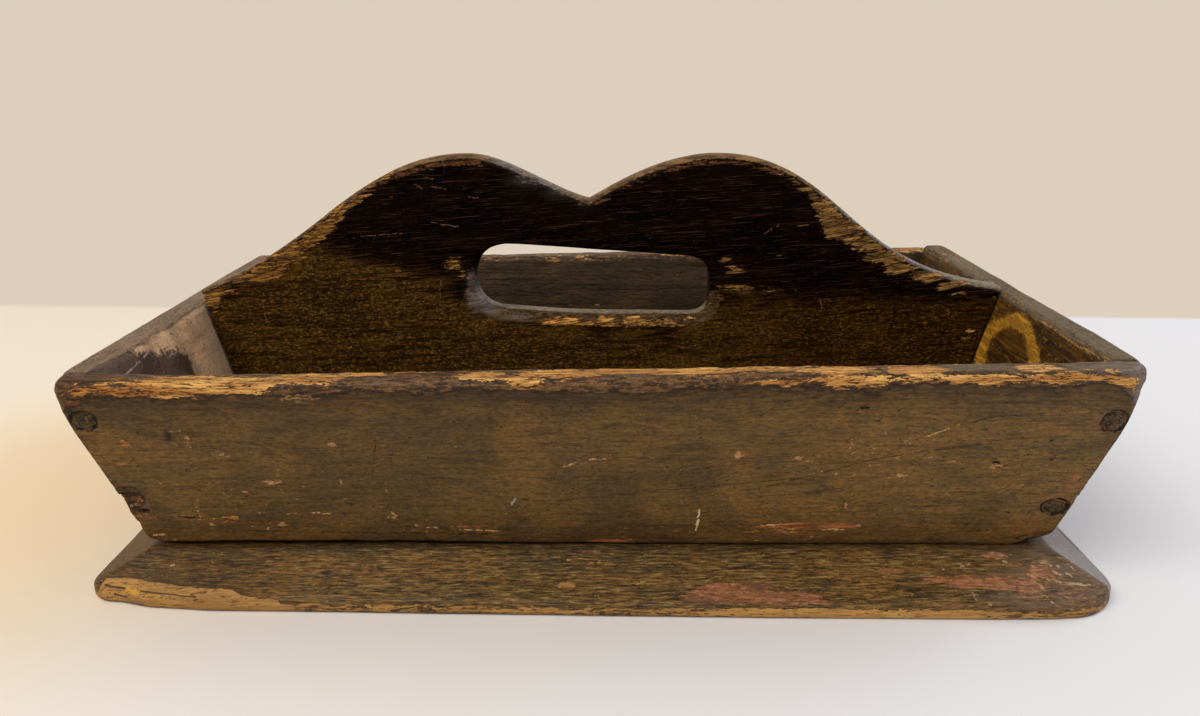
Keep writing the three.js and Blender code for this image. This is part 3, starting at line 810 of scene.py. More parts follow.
def handle_relief(p):
    wear = handle_wear(p)
    rough = ripple(p, (10, 20, 1.8), 53) + 0.5 * ripple(p, (4, 20, 1.0), 54)
    torn = np.maximum(smooth(-0.1, 0.3, wear["tear"]) * (p[:, 1] < 0), np.clip(wear["bare"], 0, 1))
    return torn * (0.4 + 0.35 * rough)


make_board(
    "front_board", long_board(-1), long_frame(-1),
    ([(-184.0, 184.0, 0.85)], [(-5.4, 63.0, 0.9), (63.0, 77.0, 0.6)], [(-13.2, 1.5, 0.85)]),
    lambda p: long_wear(p, -1), 61, 1.0, rim_relief(-1))
make_board(
    "back_board", long_board(1), long_frame(1),
    ([(-183.0, 183.0, 1.2)], [(-5.4, 63.0, 1.6), (63.0, 77.0, 0.8)], [(-13.2, 1.5, 0.95)]),
    lambda p: long_wear(p, 1), 71, 1.0, rim_relief(1))
make_board(
    "left_end_board", end_board(-1), end_frame(-1),
    ([(-106.0, 106.0, 1.1)], [(-5.4, 63.0, 1.4), (63.0, 76.5, 0.7)], [(-13.2, 2.6, 0.9)]),
    lambda p: end_wear(p, -1), 81)
make_board(
    "right_end_board", end_board(1), end_frame(1),
    ([(-108.0, 108.0, 1.1)], [(-5.4, 66.0, 1.4), (66.0, 78.5, 0.7)], [(-13.2, 1.5, 0.9)]),
    lambda p: end_wear(p, 1), 91)
make_board(
    "handle_board", handle_board(), FLAT,
    ([(-171.0, 171.0, 0.95)], [(-7.2, 7.2, 0.9)], [(14.5, 70.0, 1.3), (70.0, 147.5, 0.95)]),
    handle_wear, 101, 0.7, handle_relief)
make_board(
    "bottom_board", bottom_board(), FLAT,
    ([(-184.0, 184.0, 1.5)], [(-123.0, -90.0, 0.95), (-90.0, 90.0, 2.0), (90.0, 120.0, 1.5)],
     [(-1.2, 17.5, 0.95)]),
    base_wear, 111, 0.8)


# Nails: a flattened, hammered head on a square shank

HEAD_RINGS = [(1.0, -0.9), (1.0, -0.35), (0.95, -0.05), (0.8, 0.12), (0.55, 0.22), (0.28, 0.26)]
HEAD_TOP, HEAD_FOOT = 0.27, -0.9
SHANK_HALF, SHANK_TOP, POINT_HALF, POINT_END = 1.35, -0.8, 0.45, -37.0
HANDLE_HEAD, BASE_HEAD = (4.15, 3.6), (3.9, 3.6)
SINK, SUNK, BASE_SINK = 0.45, 1.9, 1.5
HALF_DRIVE = (math.cos(CANT / 2), math.sin(CANT / 2))
nails = []


def nail_mesh(seed, half_wide, half_high):
    sides, rng = 28, np.random.default_rng(seed)
    turn = np.linspace(0.0, 2 * math.pi, sides, endpoint=False)
    wobble = 1.0 + sum(
        rng.uniform(0.02, 0.07) * np.cos(k * turn + rng.uniform(0, 6.28)) for k in (2, 3, 5, 7))
    points, faces = [], []
    for scale, height in HEAD_RINGS:
        lump = 0.06 * np.cos(2 * turn + seed) + 0.04 * np.cos(3 * turn + 2 * seed)
        points += [
            (half_wide * w * scale * math.cos(a), half_high * w * scale * math.sin(a), height + bump)
            for a, w, bump in zip(turn, wobble, lump * scale)]
    for ring in range(len(HEAD_RINGS) - 1):
        a, b = ring * sides, (ring + 1) * sides
        faces += [(a + k, a + (k + 1) % sides, b + (k + 1) % sides, b + k) for k in range(sides)]
    crown = len(points)
    points.append((0.0, 0.0, HEAD_TOP))
    faces += [(crown, crown - sides + k, crown - sides + (k + 1) % sides) for k in range(sides)]
    base = len(points)
    points.append((0.0, 0.0, HEAD_FOOT))
    faces += [(base, (k + 1) % sides, k) for k in range(sides)]
    shank = len(points)
    for half, height in ((SHANK_HALF, SHANK_TOP), (POINT_HALF, POINT_END)):
        points += [(-half, -half, height), (half, -half, height), (half, half, height), (-half, half, height)]
    faces += [(shank + 3, shank + 2, shank + 1, shank), (shank + 4, shank + 5, shank + 6, shank + 7)]
    faces += [(shank + k, shank + (k + 1) % 4, shank + 4 + (k + 1) % 4, shank + 4 + k) for k in range(4)]
    return np.array(points), faces


def add_nail(node, head, drive, across, size, sink):
    points, faces = nail_mesh(len(nails), *size)
    z = -np.array(drive, float)
    z /= np.linalg.norm(z)
    x = np.array(across, float)
    x -= z * (x @ z)
    x /= np.linalg.norm(x)
    y = np.cross(z, x)
    points = points @ np.stack([x, y, z]) + np.array(head, float) - z * sink
    mesh = bpy.data.meshes.new(node + "_head")
    mesh.from_pydata([tuple(q) for q in points * MM], [], faces)
    mesh.shade_smooth()
    mesh.update()
    nail = bpy.data.objects.new(node + "_forged", mesh)
    bpy.context.scene.collection.objects.link(nail)
    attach(nail, "root")
    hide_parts(node)
    nails.append(nail)


for face, sy in (("front", -1), ("back", 1)):
    for end, level, centre, size in corner_nails(sy):
        add_nail(
            f"corner_nail_{face}_{end}_{level}", centre, (0, -sy * HALF_DRIVE[0], HALF_DRIVE[1]), (1, 0, 0),
            (size[0] - 0.6, size[1] - 0.45), SUNK if (sy, end, level) == SUNK_NAIL else SINK)
for end, sx in ENDS:
    for level, height in HANDLE_NAIL_HEIGHTS.items():
        add_nail(
            f"handle_nail_{end}_{level}", (sx * (FOOT_X + lean_out(height)), 0, height),
            (-sx * HALF_DRIVE[0], 0, HALF_DRIVE[1]), (0, 1, 0), HANDLE_HEAD, SINK)
BASE_NAIL_NODES = (
    [f"base_nail_{face}_{n}" for face in ("front", "back") for n in (1, 2, 3)]
    + [f"base_nail_{end}_{n}" for end in ("left", "right") for n in (1, 2)]
    + ["base_nail_handle_1", "base_nail_handle_2"])
for node, (x, y) in zip(BASE_NAIL_NODES, BASE_NAILS):
    lean = (0, 0, 1)
    if "front" in node or "back" in node:
        lean = (0, math.copysign(SIN, y), COS)
    elif "left" in node or "right" in node:
        lean = (math.copysign(SIN, x), 0, COS)
    add_nail(node, (x, y, 0), lean, (1, 0, 0) if lean[0] == 0 else (0, 1, 0), BASE_HEAD, BASE_SINK)


# Materials

def tone(red, green, blue):
    """A colour as written, 0 to 255 a channel, for a shader."""
    def linear(value):
        value /= 255.0
        return value / 12.92 if value <= 0.04045 else ((value + 0.055) / 1.055) ** 2.4
    return (linear(red), linear(green), linear(blue), 1.0)


class Graph:
    """The nodes of a material or world. Lengths are in millimetres, mixed colours as for tone()."""

    def __init__(self, owner, output="Material"):
        owner.use_nodes = True
        self.owner, self.tree = owner, owner.node_tree
        self.tree.nodes.clear()
        self.output = self.tree.nodes.new("ShaderNodeOutput" + output)
        self.point = self.grain = None

    def feed(self, value, socket):
        if isinstance(value, bpy.types.NodeSocket):
            self.tree.links.new(value, socket)
        else:
            socket.default_value = value

    def node(self, kind, values=(), named=None, out=0, **settings):
        """An output of a new node: values go to its first inputs, named ones to the inputs of that name."""
        node = self.tree.nodes.new("ShaderNode" + kind)
        for key, value in settings.items():
            setattr(node, key, value)
        for key, value in [*enumerate(values), *(named or {}).items()]:
            self.feed(value, node.inputs[key])
        return node.outputs[out]

    def math(self, operation, a, b=0, c=0, clamp=False):
        return self.node("Math", (a, b, c), operation=operation, use_clamp=clamp)

    def chain(self, operation, total, *values):
        for value in values:
            total = self.math(operation, total, value)
        return total

    def add(self, *values):
        return self.chain("ADD", *values)

    def times(self, *values):
        return self.chain("MULTIPLY", *values)

    def most(self, *values):
        return self.chain("MAXIMUM", *values)

    def less(self, value):
        return self.math("SUBTRACT", 1, value)

    def swing(self, value, amount):
        """A noise from 0 to 1, as plus and minus half of amount."""
        return self.math("MULTIPLY_ADD", value, amount, -amount / 2)

    def stray(self, start, *swings):
        """A value or the attribute of that name, made to stray by each (noise, amount)."""
        start = self.attribute(start) if isinstance(start, str) else start
        return self.add(start, *(self.swing(noise, amount) for noise, amount in swings))

    def step(self, value, low, high, start=0, stop=1):
        return self.node("MapRange", (value, low, high, start, stop), interpolation_type="SMOOTHSTEP")

    def mix(self, factor, a, b, kind="MIX"):
        a, b = (tone(*colour) if isinstance(colour, tuple) else colour for colour in (a, b))
        return self.node("Mix", named={0: factor, 6: a, 7: b}, out=2, data_type="RGBA", blend_type=kind)

    def blend(self, value, low, high, a, b):
        """From a to b as the value goes from low to high."""
        return self.mix(self.step(value, low, high), a, b)

    def layers(self, colour, *rows):
        """Each row's colour laid on by its share, where its value has gone from low to high."""
        for value, low, high, share, top in rows:
            colour = self.mix(self.times(self.step(value, low, high), share), colour, top)
        return colour

    def vector(self, operation, *values, out=0):
        return self.node("VectorMath", values, out=out, operation=operation)

    def scale(self, vector, factors):
        return self.vector("MULTIPLY", vector, factors)

    def shift(self, vector, by):
        return self.vector("ADD", vector, by)

    def gain(self, colour, factor):
        return self.node("VectorMath", (colour,), {"Scale": factor}, operation="SCALE")

    def mottle(self, colour, *swings):
        """The colour, lighter and darker with each (noise, amount)."""
        return self.gain(colour, self.stray(1, *swings))

    def position(self):
        if self.point is None:
            self.point = self.scale(self.node("TexCoord", out="Object"), (1 / MM,) * 3)
        return self.point

    def axis(self, number):
        return self.node("SeparateXYZ", (self.position(),), out=number)

    def attribute(self, name):
        return self.node("Attribute", attribute_name=name, out="Fac")

    def raise_grain(self, attribute):
        """Let the grain rise and fall by an attribute in millimetres."""
        rise = self.node("CombineXYZ", named={2: self.attribute(attribute)})
        self.grain = self.shift(self.position(), rise)

    def lean_grain(self, angle):
        self.grain = self.node(
            "VectorRotate", named={"Vector": self.position(), "Angle": math.radians(angle)},
            rotation_type="Y_AXIS")

    def noise(self, size, detail=3, rough=0.5, warp=0, seed=0):
        """Noise with lumps of the given size along X, Y and Z; long lumps lie along the grain."""
        place = self.position() if self.grain is None or max(size) < 1.6 * min(size) else self.grain
        moved = self.shift(place, (seed * 37, seed * 91, seed * 53))
        return self.node("TexNoise", named={
            "Vector": self.scale(moved, tuple(1 / s for s in size)),
            "Scale": 1, "Detail": detail, "Roughness": rough, "Distortion": warp})

    def scales(self, size):
        """Flat flakes of the given size: a number per flake, and the seams between them."""
        place = self.scale(self.shift(self.grain, (11, 7, 3)), tuple(1 / s for s in size))
        colour, seam = (
            self.node("TexVoronoi", named={"Scale": 1, "Vector": place}, out=out, feature=feature)
            for feature, out in (("F1", "Color"), ("DISTANCE_TO_EDGE", "Distance")))
        return self.math("MULTIPLY", colour, 1), self.step(seam, 0.02, 0.09, 1, 0)

    def shaken(self, size, amount, keep):
        """The position, pushed about by noise so that straight marks come out ragged, times keep."""
        place = self.scale(self.position(), (1 / size,) * 3)
        noise = self.node("TexNoise", named={"Vector": place, "Scale": 1, "Detail": 3}, out="Color")
        push = self.scale(self.shift(noise, (-0.5,) * 3), (amount * 2,) * 3)
        return self.scale(self.shift(self.position(), push), keep)

    def stroke(self, flat, start, stop, width, soft=0.25):
        """A straight mark from start to stop, on the face that flat drops the depth of."""
        a, b = Vector(start), Vector(stop)
        along = b - a
        reach = self.shift(flat, tuple(-a))
        dot = self.vector("DOT_PRODUCT", reach, tuple(along / along.length_squared), out="Value")
        share = self.math("MULTIPLY", dot, 1, clamp=True)
        spot = self.gain(tuple(-along), share)
        away = self.vector("LENGTH", self.shift(reach, spot), out="Value")
        return self.step(away, width / 2, width / 2 + soft, 1, 0)

    def strokes(self, flat, rows, soft=0.25):
        """Marks on a board that faces front: each row is the x and z of both ends, and the width."""
        mask = 0
        for ax, az, bx, bz, width in rows:
            mask = self.most(self.stroke(flat, (ax, 0, az), (bx, 0, bz), width, soft), mask)
        return mask

    def finish(self, colour, roughness, height_mm, specular=0.2):
        bump = self.node("Bump", named={"Strength": 1, "Distance": MM, "Height": height_mm})
        shader = self.node("BsdfPrincipled", named={
            "Base Color": colour, "Roughness": roughness, "Specular IOR Level": specular, "Normal": bump})
        self.feed(shader, self.output.inputs[0])
        return self.owner


def new_graph(name):
    return Graph(bpy.data.materials.new(name))


def along_grain(axis, long, wide):
    size = [wide] * 3
    size[axis] = long
    return tuple(size)


def wood_colour(g, axis, light, dark, crack, cracked=0.545):
    """Bare softwood: early and late growth in streaks, with dirt in its cracks."""
    bands = g.noise(along_grain(axis, 45, 2), 5, 0.6, 0.4, 3)
    fibres = g.noise(along_grain(axis, 9, 0.5), 4, 0.65, 0.2, 4)
    cracks = g.noise(along_grain(axis, 5.5, 0.62), 5, 0.72, 1, 5)
    colour = g.layers(g.blend(bands, 0.4, 0.6, light, dark), (fibres, 0.44, 0.62, 0.75, dark))
    split = g.step(cracks, cracked, cracked + 0.06)
    return g.mix(g.times(split, 0.88), colour, crack), split, fibres


def paint_colour(g, axis, base, light, dark, grey, seed=0, rough=1):
    """Old brushed paint: fine brush lines, greyed and warmer places, and a fine mottle."""
    cloud = g.noise((46, 46, 26), 4, 0.62, 0.8, seed + 13)
    colour = g.layers(g.blend(cloud, 0.38, 0.62, base, light), (cloud, 0.5, 0.36, 0.3, dark))
    blotch = g.noise(along_grain(axis, 13, 4), 5, 0.66, 0.7, seed + 15)
    colour = g.layers(colour, (blotch, 0.5, 0.62, 0.5, grey), (blotch, 0.46, 0.36, 0.35 * rough, light))
    streak = g.noise(along_grain(axis, 20, 1.8), 5, 0.64, 0.6, seed + 12)
    lines = g.noise(along_grain(axis, 15, 0.5), 4, 0.62, 0.3, seed + 11)
    mottle = g.noise(along_grain(axis, 1.9, 1), 5, 0.76, 0, seed + 14)
    share = 0.42 * rough
    colour = g.layers(colour, (streak, 0.52, 0.66, share, dark), (lines, 0.56, 0.68, share, dark))
    return g.mottle(colour, (mottle, 2.6 * rough), (lines, -0.9 * rough)), lines, streak, mottle


# Scratches, holes and runs: x and height of both ends, and the width
FRONT_SCRATCHES_PALE = [
    (-101.6, 78, -98.4, 78.6, 1.5), (-97.4, 78.1, -94.4, 78.5, 1.2), (-100, 76.6, -96.6, 76.8, 1),
    (-93.8, 77.5, -91.6, 77.8, 0.7), (-104.2, 77.4, -102.6, 77.7, 0.6), (109.5, 63.2, 119, 67.5, 0.3),
    (-7.9, 52.2, -12.5, 50.6, 0.4), (-3.5, 53.4, 3, 54.3, 0.35), (57, 25, 66, 25.4, 0.3),
    (-65.5, 24.9, -58, 23.8, 0.3), (-50, 23, -36, 22.4, 0.3), (79, 23.2, 86.5, 23, 0.32),
    (-101, 30.6, -95, 30.2, 0.3), (-148, 29.4, -143.5, 29, 0.35),
]
FRONT_SCRATCHES_DARK = [
    (122, 68.2, 130, 71, 0.3), (130, 71, 146, 71.9, 0.2), (58, 42, 92, 53.5, 0.25),
    (92, 53.5, 134, 61.5, 0.25), (122.8, 39.9, 153, 38.9, 0.22), (-14, 36, 70, 46, 0.2),
    (-78.2, 45, -75, 62, 0.2), (-151, 29.2, -142, 28.9, 0.45), (-128, 22.4, -40, 21, 0.25),
    (114, 57.6, 131, 60.2, 0.25),
]
FRONT_HOLES = [
    (85.8, 74, 86.6, 73.9, 0.5), (87.4, 74, 88.2, 74.3, 0.4), (150.8, 61.2, 151.7, 61.4, 0.4),
    (152.8, 53.6, 153.5, 53.5, 0.35), (133.6, 52.2, 135.8, 52, 0.55), (-160.8, 31, -159.4, 31.5, 1.1),
    (-146.4, 28.4, -142.8, 28.6, 0.35),
]
FRONT_DRIPS = [
    (34.8, 31.8, 34.6, 28.6, 0.45), (34.9, 27.4, 34.2, 25.4, 0.75), (34.4, 24.6, 34.3, 22.8, 0.35),
]
HANDLE_SCRATCHES = [
    (-76.5, 133.8, -73, 131.8, 0.19), (-69.3, 132.8, -63.2, 131.8, 0.14), (-54.1, 128.7, -50, 128, 0.19),
    (-99.4, 112.1, -80.6, 113.7, 0.11), (-70, 117.8, -58.7, 116.3, 0.11), (-66.9, 93.5, -68.2, 76.1, 0.17),
    (-142.6, 84.8, -141.6, 71.7, 0.14), (-62.8, 103.1, -58.1, 103.6, 0.25), (-66.1, 99.4, -59.3, 98.3, 0.25),
    (68.3, 113.2, 71.1, 115.2, 0.22), (73.5, 116.1, 74.3, 117.6, 0.22), (81.6, 116.6, 86.3, 117.1, 0.19),
    (93, 85.7, 94.2, 80.7, 0.33), (101.8, 76.7, 103.1, 71.6, 0.28), (67.4, 89.7, 69.9, 88.7, 0.25),
    (68.2, 71.1, 74.2, 70, 0.17), (140.2, 59.3, 142, 60.3, 0.39),
]
BASE_SCRATCHES = [
    (155.7, 13, 158.6, 12.6, 0.35), (158.6, 12.6, 159.4, 11, 0.25), (161.1, 12.4, 164.8, 10.3, 0.3),
    (159.1, 11, 162.1, 10.3, 0.3), (165.2, 12.8, 166.6, 11.6, 0.25), (127.1, 12.4, 130.4, 12.6, 0.25),
    (139.3, 14.6, 144.7, 14, 0.25), (158.8, 9.4, 170.4, 8.4, 0.18), (132.6, 5.1, 133.1, 5.1, 0.4),
    (120.6, 11.7, 120.9, 11.7, 0.25), (154.1, 6, 157, 4.7, 0.18), (128.4, 8, 128.9, 6.4, 0.18),
    (142.5, 13.3, 144, 13, 0.2), (-152, 11.9, -151, 12, 0.25),
]
BASE_CRACKS = [
    (-160.2, 5.5, -140, 5.1, 0.22), (-174.5, 5.8, -167, 5.3, 0.45), (-171, 3.2, -166, 2.6, 0.5),
]


def nail_crevice(g):
    """The dark, ragged gap round a nail's head, heavier on one side."""
    wobble = g.swing(g.noise((2.4,) * 3, 3, 0.62, 0, 26), 2.2)
    away = g.add(g.attribute("seat"), wobble)
    gap = g.times(g.step(away, -0.5, -0.25), g.step(away, 0.45, 0.65, 1, 0))
    return g.times(gap, g.step(g.noise((3.4,) * 3, 2, 0.5, 0, 27), 0.4, 0.5, 0.45, 1))


def front_marks(g, colour, flake, tones):
    """Scratches, pin holes and drips of paint on the front's outside."""
    flat = g.shaken(2, 0.6, (1, 0, 1))
    outer = g.step(g.axis(1), -95, -94, 1, 0)
    pale = g.times(g.strokes(flat, FRONT_SCRATCHES_PALE), g.step(flake, 0.44, 0.54), outer)
    colour = g.mix(g.times(pale, 0.8), colour, tones["scratch"])
    deep = g.times(g.strokes(flat, FRONT_SCRATCHES_DARK), g.step(flake, 0.38, 0.5), outer)
    colour = g.mix(g.times(deep, 0.7), colour, tones["crack"])
    colour = g.mix(g.times(g.strokes(flat, FRONT_HOLES), outer), colour, (14, 9, 5))
    colour = g.mix(g.times(g.strokes(flat, FRONT_DRIPS), outer), colour, (186, 166, 122))
    blue = g.strokes(flat, [(-30.9, 34.3, -29.6, 36.6, 0.5)])
    return g.mix(g.times(blue, outer, 0.8), colour, (140, 148, 150))


def worn_board(name, axis, tones, inside, front=False):
    """Olive-brown paint over a purple-brown ground, worn through to bare wood on the rim."""
    g = new_graph(name)
    if front:
        g.raise_grain("flow")
    crack = tones["crack"]
    paint, lines, streak, mottle = paint_colour(
        g, axis, tones["paint"], tones["light"], tones["dark"], tones["paint_grey"])
    ragged = g.noise(along_grain(axis, 7, 1.4), 5, 0.66, 0.5, 21)
    flake = g.noise(along_grain(axis, 1.9, 0.9), 3, 0.62, 0, 22)
    wander = g.add(g.swing(ragged, 2.4), g.swing(flake, 1.1))
    if front:
        # Painted light: the front's paint is made lighter towards its right end.
        right = g.step(g.axis(0), 0, 130)
        paint = g.mix(g.times(right, 0.6), paint, g.gain(paint, 1.24))
        low = g.step(g.axis(2), 36, 16)
        paint = g.mix(g.times(low, 0.7), paint, (212, 194, 170), "MULTIPLY")

    red_at = g.add(g.attribute("under"), g.times(wander, 0.85))
    red = g.step(red_at, 0.5, 0.58)
    red_tone = g.mottle(g.blend(streak, 0.42, 0.6, (158, 96, 58), (104, 62, 36)), (mottle, 1.6))
    colour = g.mix(g.times(red, 0.85), paint, red_tone)

    ground_at = g.add(g.attribute("rim"), g.times(wander, 0.6))
    ground = g.step(ground_at, -0.1, 0.1)
    ground_tone = g.blend(ragged, 0.44, 0.6, tones["ground_dark"], tones["ground"])
    ground_tone = g.layers(ground_tone, (flake, 0.52, 0.66, 0.7, (136, 92, 52)))
    # The rim's grey: worn grey paint; towards the front's right end it is a painted blue-grey sheen.
    grey_at = g.add(g.attribute("grey"), g.times(wander, 0.6))
    ground_tone = g.layers(ground_tone, (grey_at, 0.35, 0.8, 0.85, tones["grey"]))
    colour = g.mix(ground, colour, g.mottle(ground_tone, (mottle, 2.2)))
    if front:
        left = g.times(ground, g.step(g.axis(0), -150, -172))
        colour = g.mix(left, colour, (224, 202, 166), "MULTIPLY")
        # Painted sheen: blue-grey over the rim at the front's right end.
        colour = g.mix(g.times(ground, g.step(g.axis(0), 146, 172), 0.4), colour, (116, 102, 100))
    lip = g.times(g.step(ground_at, -0.55, -0.1), g.step(ground_at, 0.05, 0.3, 1, 0))
    colour = g.mix(g.times(lip, 0.75), colour, crack)

    wood, split, fibres = wood_colour(g, axis, tones["wood"], tones["wood_dark"], crack)
    field = g.step(g.noise((26, 26, 20), 2, 0.5, 0, 24), 0.5, 0.62)
    specks = g.times(g.step(g.noise(along_grain(axis, 1.5, 0.8), 2, 0.5, 0, 23), 0.7, 0.74), field)
    bare_at = g.add(g.attribute("bare"), wander)
    bare = g.most(g.step(bare_at, 0.48, 0.56), g.times(specks, 0.8))
    halo = g.times(g.step(bare_at, 0.32, 0.48), g.less(bare))
    colour = g.mix(g.times(halo, 0.45), colour, tones["ground_dark"])
    wood = g.gain(wood, g.step(g.attribute("rim"), -1, -0.4, 0.72, 1))
    if front:
        wood = g.blend(g.axis(0), -122, -158, wood, g.scale(wood, (0.84, 0.74, 0.58)))
    colour = g.mix(bare, colour, wood)

    if front:
        fleck = g.step(g.stray("fleck", (flake, 2.2), (mottle, 0.8)), 0.52, 0.66)
        pink = g.blend(ragged, 0.44, 0.58, (176, 122, 86), tones["scratch"])
        colour = g.mix(g.times(fleck, 0.62), colour, pink)
    pits = g.step(g.noise(along_grain(axis, 1.8, 0.8), 2, 0.5, 0, 25), 0.68, 0.72)
    colour = g.mix(g.times(pits, 0.7), colour, crack)
    cracks = g.times(split, g.most(bare, g.times(ground, 0.6)), -0.3)
    height = g.add(
        g.times(lines, 0.08), g.times(streak, 0.06), g.times(mottle, 0.1), g.times(bare, -0.16),
        g.times(ground, -0.08), g.times(red, -0.05), cracks, g.times(fibres, bare, 0.12),
        g.times(pits, -0.25))
    rough = g.add(0.54, g.swing(mottle, 0.3), g.times(bare, 0.16), g.times(ground, -0.08))
    if front:
        colour = front_marks(g, colour, flake, tones)
    # Darkening: dirt at the joints and scars, and painted shade under the rim.
    grime_and_shade_at = g.add(g.attribute("grime"), g.times(wander, 0.35))
    colour = g.layers(colour, (grime_and_shade_at, 0.05, 0.85, 0.85, crack))
    colour = g.mix(g.times(nail_crevice(g), 0.96), colour, (10, 6, 4))
    colour = inside(g, colour, g.attribute("inner"), bare)
    return g.finish(colour, rough, height, 0.18)


BOARD_TONES = {
    "paint": (91, 68, 36), "light": (104, 76, 38), "dark": (50, 37, 20), "paint_grey": (74, 61, 42),
    "wood": (216, 166, 94), "wood_dark": (160, 107, 52), "crack": (32, 21, 12), "grey": (92, 77, 60),
    "ground": (108, 78, 47), "ground_dark": (55, 39, 25), "scratch": (194, 152, 98),
}


def plain_inside(light, dark, streak_tone, seed):
    def inside(g, colour, inner, bare):
        streaks = g.noise((50, 50, 1.4), 6, 0.66, 0.4, seed)
        cloud = g.noise((30, 30, 14), 4, 0.6, 0.5, seed + 1)
        face = g.layers(g.blend(cloud, 0.38, 0.64, light, dark), (streaks, 0.48, 0.62, 0.8, streak_tone))
        face = g.mottle(face, (g.noise((4, 4, 0.8), 4, 0.68, 0, seed + 2), 2.8))
        return g.mix(g.times(inner, g.less(g.times(bare, 0.6))), colour, face)
    return inside


def pale_inside(g, colour, inner, bare):
    """The left end's inside: scuffed pale wood with a purple-brown stain."""
    cloud = g.noise((20, 24, 12), 5, 0.65, 0.6, 64)
    arcs = g.noise((14, 26, 2.2), 5, 0.66, 0.9, 63)
    scuff = g.noise((2.6,) * 3, 5, 0.7, 0, 65)
    specks = g.noise((1.6, 1.6, 1.2), 4, 0.7, 0, 62)
    face = g.layers(
        g.blend(cloud, 0.4, 0.6, (238, 194, 150), (204, 164, 128)),
        (arcs, 0.54, 0.64, 0.45, (134, 102, 80)), (scuff, 0.54, 0.66, 0.6, (128, 96, 72)),
        (g.axis(1), -28, -8, 0.6, (200, 178, 154)), (specks, 0.55, 0.66, 0.55, (92, 66, 54)))
    stain = g.step(g.stray("stain", (scuff, 2.4), (specks, 1.6), (cloud, 1.4)), -0.4, 0.5)
    deep = g.layers(
        g.blend(cloud, 0.42, 0.56, (84, 64, 58), (60, 44, 40)),
        (scuff, 0.55, 0.66, 0.6, (124, 100, 88)), (specks, 0.54, 0.64, 0.6, (34, 24, 24)))
    face = g.mix(g.times(stain, 0.95), face, deep)
    flat = g.shaken(4, 0.5, (0, 1, 1))
    line = g.stroke(flat, (0, -88, 77), (0, -66, 79), 0.45)
    line = g.most(line, g.stroke(flat, (0, -54, 74), (0, -44, 73.4), 0.2))
    line = g.most(line, g.stroke(flat, (0, -60, 70), (0, -48, 74.5), 0.2))
    face = g.mix(g.times(line, g.step(scuff, 0.4, 0.55), 0.7), face, (190, 170, 150))
    return g.mix(inner, colour, g.gain(face, g.step(g.axis(2), 81.4, 82.8, 1, 0.7)))


def knotty_inside(g, colour, inner, bare):
    """The right end's inside: dark wood with a bright ring of wood round a knot."""
    streaks = g.noise((14, 22, 1.6), 5, 0.68, 0.8, 66)
    cloud = g.noise((20, 24, 12), 4, 0.62, 0.5, 67)
    face = g.layers(
        g.blend(cloud, 0.4, 0.6, (78, 50, 15), (52, 32, 9)),
        (streaks, 0.52, 0.64, 0.7, (116, 80, 32)), (streaks, 0.46, 0.38, 0.7, (26, 15, 6)))
    speck = g.noise((1.4,) * 3, 4, 0.7, 0, 68)
    blotch = g.noise((4.5, 6, 3.6), 4, 0.7, 0.4, 61)
    away = g.stray("stain", (cloud, 2.5), (streaks, 2.5), (blotch, 3.5), (speck, 4.5))
    band = g.times(g.step(away, -3.7, -1.7), g.step(away, 1.6, 4, 1, 0))
    gold = g.layers(
        g.blend(streaks, 0.42, 0.58, (206, 148, 48), (152, 104, 32)), (speck, 0.54, 0.64, 0.6, (78, 52, 18)))
    face = g.mix(g.times(band, 0.88), face, gold)
    core = g.times(g.step(away, -3.6, -5), g.step(streaks, 0.5, 0.58), 0.4)
    return g.mix(inner, colour, g.mix(core, face, (104, 66, 26)))


